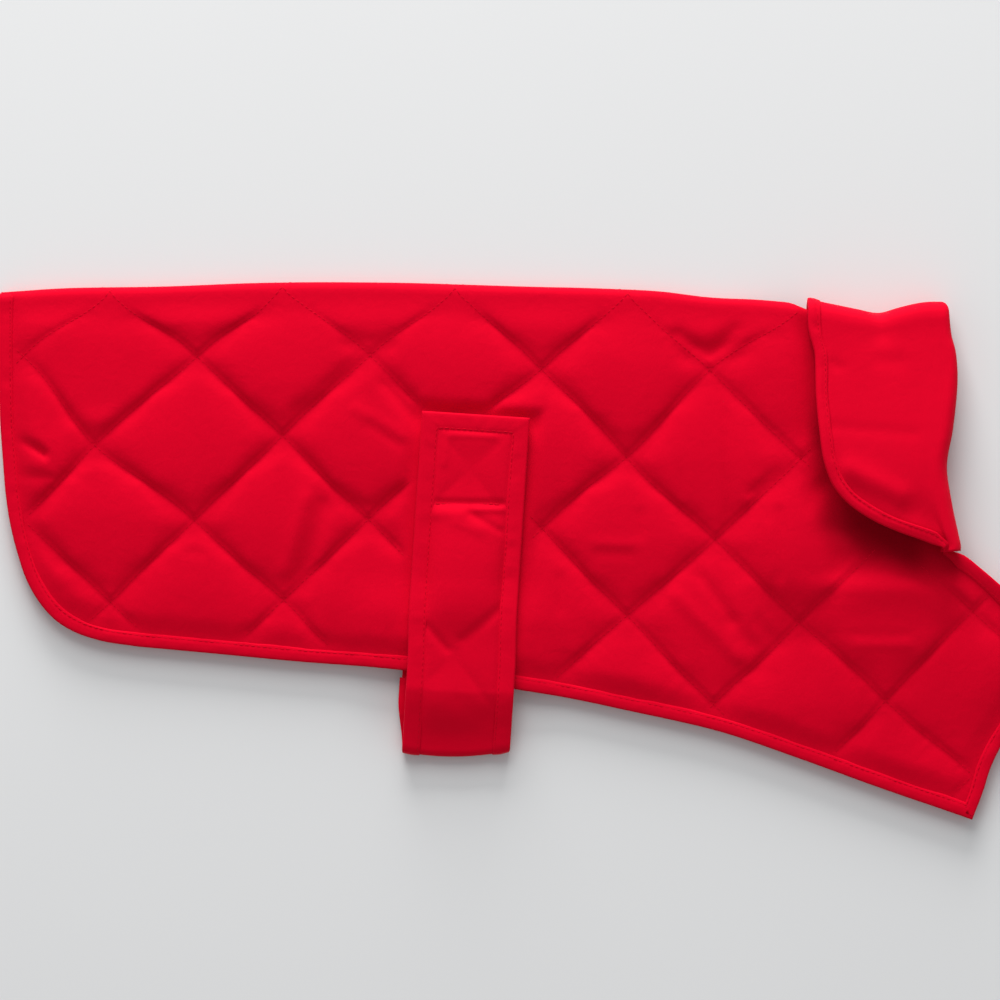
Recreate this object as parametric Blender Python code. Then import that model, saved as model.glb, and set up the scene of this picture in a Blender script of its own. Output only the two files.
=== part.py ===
"""A quilted dog winter coat, fastened, folded in half along the spine and laid on its far side.

Every piece is cut flat and then folded. A flat point is (x, c, n):
  x  from the tail edge toward the neck
  c  along the cloth from the spine, + down the near side and - down the far side
  n  outwards from the wall's inner face
laid_point folds it round the spine. Once laid, X runs toward the neck, Y toward the spine and Z up.
"""

from functools import lru_cache
from math import cos, pi, sin

import bmesh
import bpy
import numpy as np
from mathutils import Vector

MM = 0.001

SHELL_RED = (0.64, 0.006, 0.024)
TAPE_RED = (0.6, 0.006, 0.024)


def table(columns, rows):
    """A short table in millimetres, as {column: its values in metres}."""
    return dict(zip(columns.split(), np.array(rows, float).T * MM))


# Cloth and tape
STITCH_WALL = 1.6 * MM  # the quilted cloth at a stitch line, and flat under its binding
PUFF = 5.0 * MM  # how far a diamond's middle stands over its stitch lines
FAR_WALL = 2.8 * MM  # the far half, pressed flat by what lies on it
UNDER_STRAP_WALL = 4.5 * MM
UNDER_COLLAR_WALL = 3.0 * MM
TAPE = 0.9 * MM
SEAM_GAP = 0.3 * MM
HEM_TAPE_WIDTH = 6.2 * MM
COLLAR_TAPE_WIDTH = 5.2 * MM
STRAP_TAPE_WIDTH = 8.3 * MM
TAPE_REACH = SEAM_GAP + TAPE  # how far a tape stands out past the cloth that it binds
FLAT_EDGE = 7.7 * MM  # the unpuffed cloth along a bound edge
PUFF_RISE = 12.0 * MM  # over which a puff then comes up

# Quilting: stitch lines cross on a lattice of these half diagonals, through this crossing
QUILT_HALF_LENGTH = 45.6 * MM
QUILT_HALF_DROP = 43.3 * MM
QUILT_CROSSING = (13.2 * MM, 134.0 * MM)
QUILT_CELLS = 6  # mesh cells along a diamond's side
PLAIN_CELLS = 3
MERGE = 0.7 * MM

# The fold along the spine
FOLD_GAP = 4.0 * MM  # between the halves' inner faces at the fold
PANEL_GAP = 2.9 * MM  # and where they lie on each other
FOLD_RUN = 6.3 * MM  # cloth that turns the quarter round on each side
ROLL_REACH = 45.0 * MM  # cloth that the soft roll of the back takes up unevenly
ROW_DATUM = 19.0 * MM
FOLD_ROWS = np.array([0, 2.1, 4.2, 6.3]) * MM
ROLL_ROWS = np.array([13, 22, 33, 45]) * MM
QUILTING_ENDS = -4.2 * MM  # on the far half it fades to a flat underside

FOLD_LINE = table(
    "from_tail centre",
    [
        (0, -0.7), (32, 1.4), (85, 2.4), (140, 4.4), (201, 4.6), (276, 2.5), (318, 1.4), (350, -0.2),
        (375, -3.2), (403, -4.8), (420, -6.6), (440, -10.6), (456, -13.8), (465, -15.2), (475, -12.6),
        (488, -9.8), (505, -9.6),
    ],
)  # fmt: skip
ROW_DRIFT = table(
    "from_tail drift",
    [(0, 0), (190, 0), (286, -3.7), (371, -10.6), (424, -11.0), (477, -8.0), (513, -5.0), (550, -3.0)],
)

# The finished outline of a laid half: drop is below the collar's top edge
THROAT_EDGE = table("from_tail drop", [(503, 130.8), (508, 132.6), (519.4, 141), (530, 150)])
CHEST_FRONT = table(
    "from_tail drop",
    [
        (530, 150), (538.5, 159), (544.8, 170.7), (547.5, 185), (546.8, 200), (542.7, 213.5),
        (536, 225), (530, 234.3), (524.2, 246.5), (520.6, 258), (514.6, 273.5),
    ],
)  # fmt: skip
HEM = table(
    "from_tail drop",
    [
        (514.6, 273.5), (489, 264.6), (466.4, 256.8), (424, 241.4), (381.6, 227), (318, 212.6),
        (275.6, 204.8), (212, 194.2), (159, 189.9), (106, 184.9), (74, 182),
    ],
)  # fmt: skip
TAIL_CORNER = table(
    "from_tail drop",
    [
        (74, 182), (53, 178.6), (40, 174.2), (30, 168), (22.5, 160), (15.5, 148.5), (10, 133), (6.2, 118),
        (3.6, 101), (2.2, 84),
    ],
)  # fmt: skip
TAIL_EDGE = table("from_tail drop", [(2.2, 84), (0.9, 66), (0.2, 48), (0, 34)])

# The collar
COLLAR_ROWS = np.array([58, 71, 84, 95, 104, 112, 119, 125, 130, 134.5, 138.5, 141.5]) * MM
NECK_SEAM = table(
    "from_spine seam",
    [(0, 466), (60, 466), (90, 469), (108, 474), (120, 481), (130, 488), (141.5, 497)],
)
COLLAR_ROLL = table(
    "from_spine roll",
    [(0, 501.5), (20, 503), (54, 506), (80, 503.5), (100, 500.2), (118, 502.6), (141.5, 507.5)],
)
FALL_EDGE = table(
    "from_spine edge",
    [
        (0, 428.4), (13, 428.4), (33, 431.6), (59, 432.4), (75, 433.8), (95, 437), (105, 441),
        (113, 447.2), (120, 455.5), (126, 465), (131, 474.5), (136, 485), (141.5, 494.5),
    ],
)  # fmt: skip
COLLAR_WALL = 3.0 * MM
FALL_HEIGHT = 4.8 * MM  # the fall's underside over the coat's inner face
FALL_RISE = 7.0 * MM  # and how much higher the near fall stands at the throat
FALL_RISE_FROM = 60 * MM
COLLAR_LIFT = 6.2 * MM  # of the far half over the far fall
COLLAR_LIFT_MARGIN = 4 * MM
COLLAR_LIFT_FADE = 42 * MM
COLLAR_PRESS_MARGIN = 4 * MM
COLLAR_PRESS_FADE = 12 * MM

# The strap: its top middle as laid, and its lie
STRAP_TOP = (252.3 * MM, -60.4 * MM)
STRAP_LEAN = 0.0663  # toward the tail, for each unit down
STRAP_WIDTH = 57.0 * MM
STRAP_REACH = 179.6 * MM  # from its top to the outside of its fold
STRAP_STAND = 6.5 * MM  # its inner face over the near half's inner face
STRAP_FOLD_RADIUS = 2.0 * MM
STRAP_LAP = 18 * MM  # its end between the halves, sewn in at the far hem
STRAP_SKEW = 3.7 * MM  # the returning layer lies this much nearer the tail
STRAP_SKEW_RUN = 14 * MM
STRAP_FLAT_EDGE = 9.3 * MM  # under its tape
STRAP_PUFF = 2.2 * MM
STRAP_PUFF_RISE = 7 * MM
STRAP_CROSSING = (-1.0 * MM, 28.0 * MM)
STRAP_HALF_LENGTH = 46.0 * MM  # its quilting lattice, as on the coat
STRAP_HALF_DROP = 49.5 * MM
STRAP_CELLS = 5
STRAP_PRESS_MARGIN = 2 * MM
STRAP_PRESS_FADE = 8 * MM
STRAP_TAPE_PAST_HEM = 16 * MM
LAP_LIFT = 1.9 * MM  # of the near half over the strap's sewn end
LAP_LIFT_ASIDE = 8 * MM
LAP_LIFT_ABOVE = 12 * MM
LAP_LIFT_FADE = 26 * MM


def ease(t):
    """0 to 1 with level ends."""
    t = np.clip(t, 0.0, 1.0)
    return t * t * (3 - 2 * t)


def read(chart, x):
    """A table's second column at a value of its first."""
    at, value = chart.values()
    return np.interp(x, at, value)


# ---------------------------------------------------------------- how the coat is laid


def collar_lift(x, c):
    """The far half's rise over the far fall, which lies between it and the table."""
    before = (FALL_EDGE["edge"][0] - COLLAR_LIFT_MARGIN - x) / COLLAR_LIFT_FADE
    below = (abs(c) - FALL_EDGE["from_spine"][-1] - COLLAR_LIFT_MARGIN) / COLLAR_LIFT_FADE
    return COLLAR_LIFT * (1 - ease(before)) * (1 - ease(below))


def lap_lift(x, c):
    """The near half's rise over the strap's sewn end."""
    lap_x, lap_c = strap_crosses_hem()
    aside = (abs(x - lap_x) - STRAP_WIDTH / 2 - LAP_LIFT_ASIDE) / LAP_LIFT_FADE
    above = (lap_c - STRAP_LAP - LAP_LIFT_ABOVE - c) / LAP_LIFT_FADE
    return LAP_LIFT * (1 - ease(aside)) * (1 - ease(above))


def far_inner(x, c):
    """Height of the far half's inner face over the table."""
    return FAR_WALL + collar_lift(x, c)


def halves_gap(c):
    past_fold = (abs(c) - FOLD_RUN) / (ROLL_REACH - FOLD_RUN)
    return PANEL_GAP + (FOLD_GAP - PANEL_GAP) * (1 - ease(past_fold))


def near_inner(x, c):
    return far_inner(x, c) + halves_gap(c) + lap_lift(x, c)


def laid_y(x, c):
    """Where cloth at (x, c) lies across the table, past the fold."""
    past = abs(c) - FOLD_RUN
    near_fold = read(FOLD_LINE, x) - past
    in_rows = ROW_DATUM + read(ROW_DRIFT, x) - abs(c)
    t = ease(past / (ROLL_REACH - FOLD_RUN))
    return near_fold * (1 - t) + in_rows * t


def flat_c(x, y):
    """The cloth distance c of a point laid at (x, y), past the roll of the back."""
    return ROW_DATUM + read(ROW_DRIFT, x) - y


def laid_point(x, c, n):
    """Folds one flat point round the spine."""
    side = 1 if c >= 0 else -1
    turn = min(abs(c) / FOLD_RUN, 1.0) * pi / 2
    half_gap = halves_gap(c) / 2
    radius = half_gap + n
    if abs(c) < FOLD_RUN:
        y = read(FOLD_LINE, x) + radius * cos(turn)
    else:
        y = laid_y(x, c)
    middle = far_inner(x, c) + half_gap
    lift = lap_lift(x, c) if side > 0 else 0
    return Vector((x, y, middle + side * radius * sin(turn) + lift))


# ---------------------------------------------------------------- outlines


def smooth_line(points, spacing):
    """Points at an even spacing along a smooth curve through the given ones."""
    points = np.array(points)
    along = np.concatenate([[0], np.cumsum(np.hypot(*np.diff(points, axis=0).T))])
    slope = np.gradient(points, along, axis=0)
    steps = max(2, round(along[-1] / spacing))
    at = np.linspace(0, along[-1], steps + 1)
    i = np.clip(np.searchsorted(along, at, side="right") - 1, 0, len(along) - 2)
    span = along[i + 1] - along[i]
    t = ((at - along[i]) / span)[:, None]
    span = span[:, None]
    return (
        points[i] * (1 + 2 * t) * (1 - t) ** 2
        + points[i + 1] * (3 - 2 * t) * t**2
        + slope[i] * span * t * (1 - t) ** 2
        - slope[i + 1] * span * (1 - t) * t**2
    )


def flat_run(chart, spacing):
    """A stretch of the laid outline, as smooth flat (x, c) points."""
    x = chart["from_tail"]
    return smooth_line(np.stack([x, flat_c(x, -chart["drop"])], axis=1), spacing)


def left_steps(points):
    """For each point of an open line, the step that moves it 1 to its left, mitred at corners."""
    points = np.array(points)
    ahead = np.diff(points, axis=0)
    ahead /= np.linalg.norm(ahead, axis=1)[:, None]
    left = np.stack([-ahead[:, 1], ahead[:, 0]], axis=1)
    before, after = np.concatenate([left[:1], left]), np.concatenate([left, left[-1:]])
    middle = before + after
    return middle * 2 / (middle**2).sum(axis=1)[:, None]


def mirrored(points):
    """The same line on the far half, run the other way."""
    return np.array(points)[::-1] * (1, -1)


class BoundEdge:
    """The coat's cut edge under its binding, from the near throat round the tail to the far throat."""

    runs = (
        (THROAT_EDGE, 7 * MM),
        (CHEST_FRONT, 9.5 * MM),
        (HEM, 15 * MM),
        (TAIL_CORNER, 8.5 * MM),
        (TAIL_EDGE, 12 * MM),
    )

    def __init__(self):
        near = [flat_run(chart, spacing)[:-1] for chart, spacing in self.runs]
        over_fold = [(0, c) for c in (*ROLL_ROWS[::-1], *FOLD_ROWS[::-1])]
        near = np.concatenate([*near, over_fold])
        finished = np.concatenate([near, mirrored(near[:-1])])
        self.inward = left_steps(finished)
        self.points = finished + TAPE_REACH * self.inward

    def distance(self, places):
        """How far each flat place is from the edge."""
        start, run = self.points[:-1], np.diff(self.points, axis=0)
        t = ((places[:, None] - start) * run).sum(axis=2) / (run**2).sum(axis=1)
        nearest = start + np.clip(t, 0, 1)[..., None] * run
        return np.linalg.norm(places[:, None] - nearest, axis=2).min(axis=1)


def seam_rows():
    rows = np.concatenate([FOLD_ROWS, ROLL_ROWS, COLLAR_ROWS])
    return np.concatenate([-rows[:0:-1], rows])


def neck_seam():
    """The coat's edge that the collar is sewn to, from the far throat to the near one."""
    rows = seam_rows()
    return np.stack([read(NECK_SEAM, abs(rows)), rows], axis=1)


# ---------------------------------------------------------------- quilting


def quilt_rise(u, v):
    """0 on the stitch lines and 1 in a diamond's middle, for lattice places u and v."""
    across, down = sin(pi * (u + v) / 2), sin(pi * (u - v) / 2)
    return abs(across * down) ** 0.65


def under_strap(x, c):
    """1 where the strap presses the near half, fading past the strap's sides."""
    down, aside = strap_place(x, laid_y(x, c))
    outside = max(abs(aside) - STRAP_WIDTH / 2, -down)
    return 1 - ease((outside - STRAP_PRESS_MARGIN) / STRAP_PRESS_FADE)


def under_collar(x, c):
    """1 where the collar's fall presses the cloth, fading past the fall's edge."""
    outside = read(FALL_EDGE, abs(c)) - x
    if abs(c) > FALL_EDGE["from_spine"][-1]:
        outside = max(outside, abs(c) - FALL_EDGE["from_spine"][-1])
    return 1 - ease((outside - COLLAR_PRESS_MARGIN) / COLLAR_PRESS_FADE)


def coat_wall(x, c, edge_distance):
    """Thickness of the quilted cloth."""
    free = ease((edge_distance - FLAT_EDGE) / PUFF_RISE)
    u = (x - QUILT_CROSSING[0]) / QUILT_HALF_LENGTH
    v = (c - QUILT_CROSSING[1]) / QUILT_HALF_DROP
    wall = STITCH_WALL + PUFF * quilt_rise(u, v)
    if c > ROLL_REACH:
        wall += (UNDER_STRAP_WALL - wall) * under_strap(x, c)
    wall += (UNDER_COLLAR_WALL - wall) * under_collar(x, c)
    far = 1 - ease((c - QUILTING_ENDS) / (FOLD_RUN - QUILTING_ENDS))
    wall += (FAR_WALL - wall) * far
    return STITCH_WALL + (wall - STITCH_WALL) * free


# ---------------------------------------------------------------- the strap's lie


def strap_plan(down, aside):
    """The laid (x, y) of a place on the strap, from its top middle."""
    run = Vector((-STRAP_LEAN, -1)).normalized()
    return STRAP_TOP[0] + down * run.x - aside * run.y, STRAP_TOP[1] + down * run.y + aside * run.x


def strap_place(x, y):
    """(down, aside) on the strap of a laid (x, y)."""
    run = Vector((-STRAP_LEAN, -1)).normalized()
    dx, dy = x - STRAP_TOP[0], y - STRAP_TOP[1]
    return dx * run.x + dy * run.y, -dx * run.y + dy * run.x


def hem_down(aside):
    """How far down the strap the hem crosses it."""
    low, high = 0, STRAP_REACH
    for _ in range(20):
        down = (low + high) / 2
        x, y = strap_plan(down, aside)
        if -y < np.interp(x, HEM["from_tail"][::-1], HEM["drop"][::-1]):
            low = down
        else:
            high = down
    return high


@lru_cache
def strap_crosses_hem():
    """The flat (x, c) where the strap's middle crosses the hem."""
    x, y = strap_plan(hem_down(0), 0)
    return x - STRAP_SKEW, flat_c(x, y)


def strap_path():
    """The strap's inner face seen from its side, as (down, height): its top, its fold, its sewn end."""
    half = STRAP_WIDTH / 2
    hems = hem_down(-half), hem_down(half)
    leaves_coat, enters_hem = max(hems) + 3 * MM, min(hems) + 10 * MM
    centre = STRAP_REACH - STRAP_FOLD_RADIUS - STITCH_WALL - TAPE_REACH
    low = STITCH_WALL + TAPE_REACH
    sewn = FAR_WALL + TAPE_REACH + SEAM_GAP + STITCH_WALL
    path = []
    for down in np.linspace(0, leaves_coat, 15):
        places = [strap_plan(down, aside) for aside in (-half, 0, half)]
        coat = max(near_inner(x, flat_c(x, y)) for x, y in places)
        path.append((down, coat + STRAP_STAND))
    start, end = path[-1][1], low + 2 * STRAP_FOLD_RADIUS
    for t in np.linspace(0, 1, 6)[1:]:
        path.append((leaves_coat + (centre - leaves_coat) * t, start + (end - start) * ease(t)))
    for turn in np.linspace(0, pi, 9)[1:]:
        path.append((centre + STRAP_FOLD_RADIUS * sin(turn), low + STRAP_FOLD_RADIUS * (1 + cos(turn))))
    for t in np.linspace(0, 1, 5)[1:]:
        path.append((centre + (enters_hem - centre) * t, low + (sewn - low) * ease(t * 1.25)))
    path.append((min(hems) - STRAP_LAP, sewn))
    return np.array(path)


class StrapLie:
    """Places a flat strap point: a along it from its top, b across it, n outwards."""

    def __init__(self):
        self.path = strap_path()
        run = np.diff(self.path, axis=0)
        self.along = np.concatenate([[0], np.cumsum(np.hypot(*run.T))])
        self.length = self.along[-1]
        self.turn = self.path[:, 0].argmax()
        self.fold = self.along[self.turn]
        run = run / np.linalg.norm(run, axis=1)[:, None]
        run = np.concatenate([run[:1], (run[:-1] + run[1:]) / 2, run[-1:]])
        self.normal = np.stack([-run[:, 1], run[:, 0]], axis=1) / np.linalg.norm(run, axis=1)[:, None]

    def point(self, a, b, n):
        down, height = (np.interp(a, self.along, self.path[:, k]) for k in (0, 1))
        normal = np.array([np.interp(a, self.along, self.normal[:, k]) for k in (0, 1)])
        normal /= np.linalg.norm(normal)
        skew = STRAP_SKEW * ease((a - self.fold) / STRAP_SKEW_RUN)
        x, y = strap_plan(down + n * normal[0], b - skew)
        return Vector((x, y, height + n * normal[1]))


def strap_wall(a, b, edge_distance, fold):
    """Thickness of the strap, quilted as far as its last 10 mm above the fold."""
    u = (b - STRAP_CROSSING[0]) / STRAP_HALF_LENGTH
    v = (a - STRAP_CROSSING[1]) / STRAP_HALF_DROP
    off_edge = ease((edge_distance - STRAP_FLAT_EDGE) / STRAP_PUFF_RISE)
    before_fold = ease((fold - 10 * MM - a) / (20 * MM))
    return STITCH_WALL + STRAP_PUFF * quilt_rise(u, v) * off_edge * before_fold


# ---------------------------------------------------------------- building meshes


def slice_faces(bm, lines, wanted):
    """Cuts the wanted faces along each line, given as a point and a normal."""
    for point, normal in lines:
        faces = [f for f in bm.faces if wanted(f)]
        edges = {e for f in faces for e in f.edges}
        verts = {v for f in faces for v in f.verts}
        bmesh.ops.bisect_plane(
            bm, geom=[*faces, *edges, *verts], dist=1e-6, plane_co=(*point, 0), plane_no=(*normal, 0)
        )


def lattice_lines(crossing, half_across, half_down, cells, low, high):
    """The lattice's lines, and the mesh lines between them, over a rectangle."""
    lines = []
    for sign in (1, -1):
        ends = [
            ((x - crossing[0]) / half_across + sign * (y - crossing[1]) / half_down) / 2
            for x in (low[0], high[0])
            for y in (low[1], high[1])
        ]
        for k in range(int(min(ends) * cells) - 1, int(max(ends) * cells) + 2):
            point = (crossing[0] + 2 * half_across * k / cells, crossing[1])
            lines.append((point, (1 / half_across, sign / half_down)))
    return lines


def cut_cloth(outline, edge_width, rows, slices):
    """A flat slab one unit thick: an outline, with a plain band along it, cut by rows and then slices."""
    bm = bmesh.new()
    band = bm.faces.layers.int.new("band")
    middle = bm.faces.new([bm.verts.new((*p, 0)) for p in outline])
    middle.normal_update()
    bmesh.ops.inset_individual(bm, faces=[middle], thickness=edge_width, use_even_offset=True)
    for face in bm.faces:
        face[band] = face != middle
    slice_faces(bm, [((0, row), (0, 1)) for row in rows], lambda f: True)
    top = bmesh.ops.extrude_face_region(bm, geom=bm.faces[:])["geom"]
    for vert in top:
        if isinstance(vert, bmesh.types.BMVert):
            vert.co.z = 1
    for lines, wanted in slices:

        def inside(face, wanted=wanted):
            return not face[band] and abs(face.normal.z) > 0.5 and wanted(face.calc_center_median())

        slice_faces(bm, lines, inside)
    bmesh.ops.remove_doubles(bm, verts=bm.verts[:], dist=MERGE)
    bm.normal_update()
    bmesh.ops.triangulate(bm, faces=bm.faces[:], quad_method="SHORT_EDGE", ngon_method="BEAUTY")
    return bm


def loft(rings):
    """A closed folded wall through rings, each its outer line and then its inner line run back."""
    bm = bmesh.new()
    loops = [[bm.verts.new(p) for p in ring] for ring in rings]
    count = len(loops[0])
    for a, b in zip(loops, loops[1:]):
        for i in range(count):
            j = (i + 1) % count
            bm.faces.new((a[i], a[j], b[j], b[i]))
    for end in (loops[0], loops[-1]):
        for i in range(count // 2 - 1):
            bm.faces.new((end[i], end[i + 1], end[-2 - i], end[-1 - i]))
    bm.normal_update()
    bmesh.ops.triangulate(bm, faces=bm.faces[:], quad_method="SHORT_EDGE")
    return bm


def cloth_material(name, colour, roughness):
    material = bpy.data.materials.new(name)
    material.use_nodes = True
    shader = material.node_tree.nodes["Principled BSDF"]
    shader.inputs["Base Color"].default_value = (*colour, 1)
    shader.inputs["Roughness"].default_value = roughness
    shader.inputs["Metallic"].default_value = 0.0
    return material


def add_piece(name, bm, collection, colour, roughness):
    bmesh.ops.recalc_face_normals(bm, faces=bm.faces[:])
    if bm.calc_volume(signed=True) < 0:
        bmesh.ops.reverse_faces(bm, faces=bm.faces[:])
    mesh = bpy.data.meshes.new(name)
    bm.to_mesh(mesh)
    bm.free()
    mesh.shade_smooth()
    mesh.materials.append(cloth_material(name, colour, roughness))
    piece = bpy.data.objects.new(name, mesh)
    collection.objects.link(piece)
    return piece


# ---------------------------------------------------------------- the pieces


def plain_sheet(place):
    """The inner face, and the far half's flat underside."""
    return place.z < 0.5 or place.y < 0


def shaped_sheet(place):
    """The quilted face, and where the plain sheets bend over the strap's end and by the collar."""
    lap_x, lap_c = strap_crosses_hem()
    quilted = place.z > 0.5 and place.y > -FOLD_RUN
    beside_lap = STRAP_WIDTH / 2 + LAP_LIFT_ASIDE + LAP_LIFT_FADE
    above_lap = STRAP_LAP + LAP_LIFT_ABOVE + LAP_LIFT_FADE
    over_lap = place.z < 0.5 and abs(place.x - lap_x) < beside_lap and place.y > lap_c - above_lap
    by_collar = place.x > FALL_EDGE["edge"][0] - COLLAR_LIFT_MARGIN - COLLAR_LIFT_FADE
    return quilted or over_lap or by_collar


def make_body(edge):
    """The quilted shell, cut in one piece and folded on the spine."""
    outline = np.concatenate([edge.points, neck_seam()])
    rows = np.concatenate([FOLD_ROWS, ROLL_ROWS])
    lattice = (QUILT_CROSSING, QUILT_HALF_LENGTH, QUILT_HALF_DROP)
    ends = (outline.min(axis=0), outline.max(axis=0))
    slices = [
        (lattice_lines(*lattice, PLAIN_CELLS, *ends), plain_sheet),
        (lattice_lines(*lattice, QUILT_CELLS, *ends), shaped_sheet),
    ]
    bm = cut_cloth(outline, FLAT_EDGE, [*rows, *-rows[1:]], slices)
    flat = np.array([v.co for v in bm.verts])
    distances = edge.distance(flat[:, :2])
    for vert, (x, c, outer), distance in zip(bm.verts, flat, distances):
        wall = coat_wall(x, c, distance) if outer > 0.5 else 0
        vert.co = laid_point(x, c, wall)
    return bm


def tape_section(width, wall):
    """A binding's folded section: (in from the cloth's edge, out from its inner face)."""
    outer = [
        (width, wall + TAPE_REACH),
        (-0.5 * TAPE_REACH, wall + 0.75 * TAPE_REACH),
        (-TAPE_REACH, wall / 2),
        (-0.5 * TAPE_REACH, -0.75 * TAPE_REACH),
        (width, -TAPE_REACH),
    ]
    inner = [
        (width, -SEAM_GAP),
        (-SEAM_GAP, -SEAM_GAP),
        (-SEAM_GAP, wall / 2),
        (-SEAM_GAP, wall + SEAM_GAP),
        (width, wall + SEAM_GAP),
    ]
    return outer + inner


def make_hem_binding(edge):
    """The tape folded round the coat's cut edge."""
    section = tape_section(HEM_TAPE_WIDTH, STITCH_WALL)
    rings = []
    for point, step in zip(edge.points[1:-1], edge.inward[1:-1]):
        rings.append([laid_point(*(point + inset * step), out) for inset, out in section])
    return loft(rings)


def fall_middle(c):
    """Height of the fall's middle over the coat's inner face."""
    rise = FALL_RISE * ease((c - FALL_RISE_FROM) / (FALL_EDGE["from_spine"][-1] - FALL_RISE_FROM))
    return FALL_HEIGHT + COLLAR_WALL / 2 + rise


def collar_section(c):
    """The collar's folded section at c: stand, roll and fall, as a ring of flat points."""
    half = COLLAR_WALL / 2
    stand_n, fall_n = half, fall_middle(c)
    radius = (fall_n - stand_n) / 2
    seam = read(NECK_SEAM, abs(c)) + SEAM_GAP
    centre = read(COLLAR_ROLL, abs(c)) - radius - half
    free = read(FALL_EDGE, abs(c))
    outer, inner = [], []
    for t in np.linspace(0, 1, 3):
        x = seam + (centre - seam) * t
        outer.append((x, stand_n - half))
        inner.append((x, stand_n + half))
    for turn in np.linspace(0, pi, 7)[1:-1]:
        for line, r in ((outer, radius + half), (inner, radius - half)):
            line.append((centre + r * sin(turn), stand_n + radius - r * cos(turn)))
    under_tape = min(free + COLLAR_TAPE_WIDTH + 1 * MM, (free + centre) / 2)
    for x in [*np.linspace(centre, under_tape, 5), free]:
        outer.append((x, fall_n + half))
        inner.append((x, fall_n - half))
    return [laid_point(x, c, n) for x, n in outer + inner[::-1]]


def make_collar():
    """The fold-over collar, sewn to the neck from throat to throat."""
    return loft([collar_section(c) for c in seam_rows()])


def make_collar_binding():
    """The tape round the fall's free edge, from the far throat over the nape to the near one."""
    rows = seam_rows()[1:-1]
    line = np.stack([read(FALL_EDGE, abs(rows)), rows], axis=1)
    rings = []
    for (x, c), step in zip(line, -left_steps(line)):
        ring = []
        for inset, out in tape_section(COLLAR_TAPE_WIDTH, COLLAR_WALL):
            at_x, at_c = x + inset * step[0], c + inset * step[1]
            level = fall_middle(at_c) - COLLAR_WALL / 2
            ring.append(laid_point(at_x, at_c, level + out))
        rings.append(ring)
    return loft(rings)


def make_strap(lie):
    """The belly strap, from its free top over the near side, round its fold and in at the far hem."""
    half = STRAP_WIDTH / 2 - TAPE_REACH
    outline = [(-half, 0), (half, 0), (half, lie.length), (-half, lie.length)]
    lattice = (STRAP_CROSSING, STRAP_HALF_LENGTH, STRAP_HALF_DROP)
    lines = lattice_lines(*lattice, STRAP_CELLS, (-half, 0), (half, lie.fold))
    slices = [(lines, lambda place: place.z > 0.5 and place.y < lie.fold - 5 * MM)]
    bm = cut_cloth(outline, STRAP_FLAT_EDGE, lie.along[1:-1], slices)
    for vert in bm.verts:
        b, a, outer = vert.co
        wall = strap_wall(a, b, min(half - abs(b), a), lie.fold) if outer > 0.5 else 0
        vert.co = lie.point(a, b, wall)
    return bm


def make_strap_binding(lie):
    """The tape up one side of the strap, round its top and down the other, ending at the hem."""
    half = STRAP_WIDTH / 2 - TAPE_REACH
    ends_at = min(hem_down(-half), hem_down(half)) + STRAP_TAPE_PAST_HEM
    last = np.interp(-ends_at, -lie.path[lie.turn :, 0], lie.along[lie.turn :])
    rows = [a for a in lie.along if 1 * MM < a < last - 1 * MM] + [last]
    line = [(-half, a) for a in rows[::-1]] + [(-half, 0), (0, 0), (half, 0)] + [(half, a) for a in rows]
    rings = []
    for (b, a), step in zip(line, left_steps(line)):
        ring = []
        for inset, out in tape_section(STRAP_TAPE_WIDTH, STITCH_WALL):
            at_b, at_a = b + inset * step[0], a + inset * step[1]
            place = lie.point(max(at_a, 0), at_b, out)
            if at_a < 0:
                x, y = strap_plan(at_a, 0)
                place += Vector((x - STRAP_TOP[0], y - STRAP_TOP[1], 0))
            ring.append(place)
        rings.append(ring)
    return loft(rings)


def stand_on_origin(pieces):
    """Moves the meshes so that the whole coat's box has its bottom centre at the origin."""
    corners = np.array([v.co for piece in pieces for v in piece.data.vertices])
    low, high = corners.min(axis=0), corners.max(axis=0)
    shift = Vector((-(low[0] + high[0]) / 2, -(low[1] + high[1]) / 2, -low[2]))
    for piece in pieces:
        for vert in piece.data.vertices:
            vert.co += shift


def main():
    for old in list(bpy.data.objects):
        bpy.data.objects.remove(old)
    coat = bpy.data.collections.new("dog_winter_coat")
    bpy.context.scene.collection.children.link(coat)
    edge = BoundEdge()
    lie = StrapLie()
    pieces = [
        add_piece("body", make_body(edge), coat, SHELL_RED, 0.5),
        add_piece("hem_binding", make_hem_binding(edge), coat, TAPE_RED, 0.55),
        add_piece("collar", make_collar(), coat, SHELL_RED, 0.5),
        add_piece("collar_binding", make_collar_binding(), coat, TAPE_RED, 0.55),
        add_piece("strap", make_strap(lie), coat, SHELL_RED, 0.45),
        add_piece("strap_binding", make_strap_binding(lie), coat, TAPE_RED, 0.55),
    ]
    stand_on_origin(pieces)


main()
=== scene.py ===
"""Looks of a quilted dog coat that lies folded in half on its side.

Each cloth is cut flat and then laid. A flat place is (x, c, n):
  x  from the tail edge toward the neck
  c  along the cloth from the spine, + down the near side and - down the far side
  n  outwards from the cloth's inner face
laid() folds it round the spine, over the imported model. X runs toward the neck, Y toward the spine and Z up.
"""

from math import pi

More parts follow.
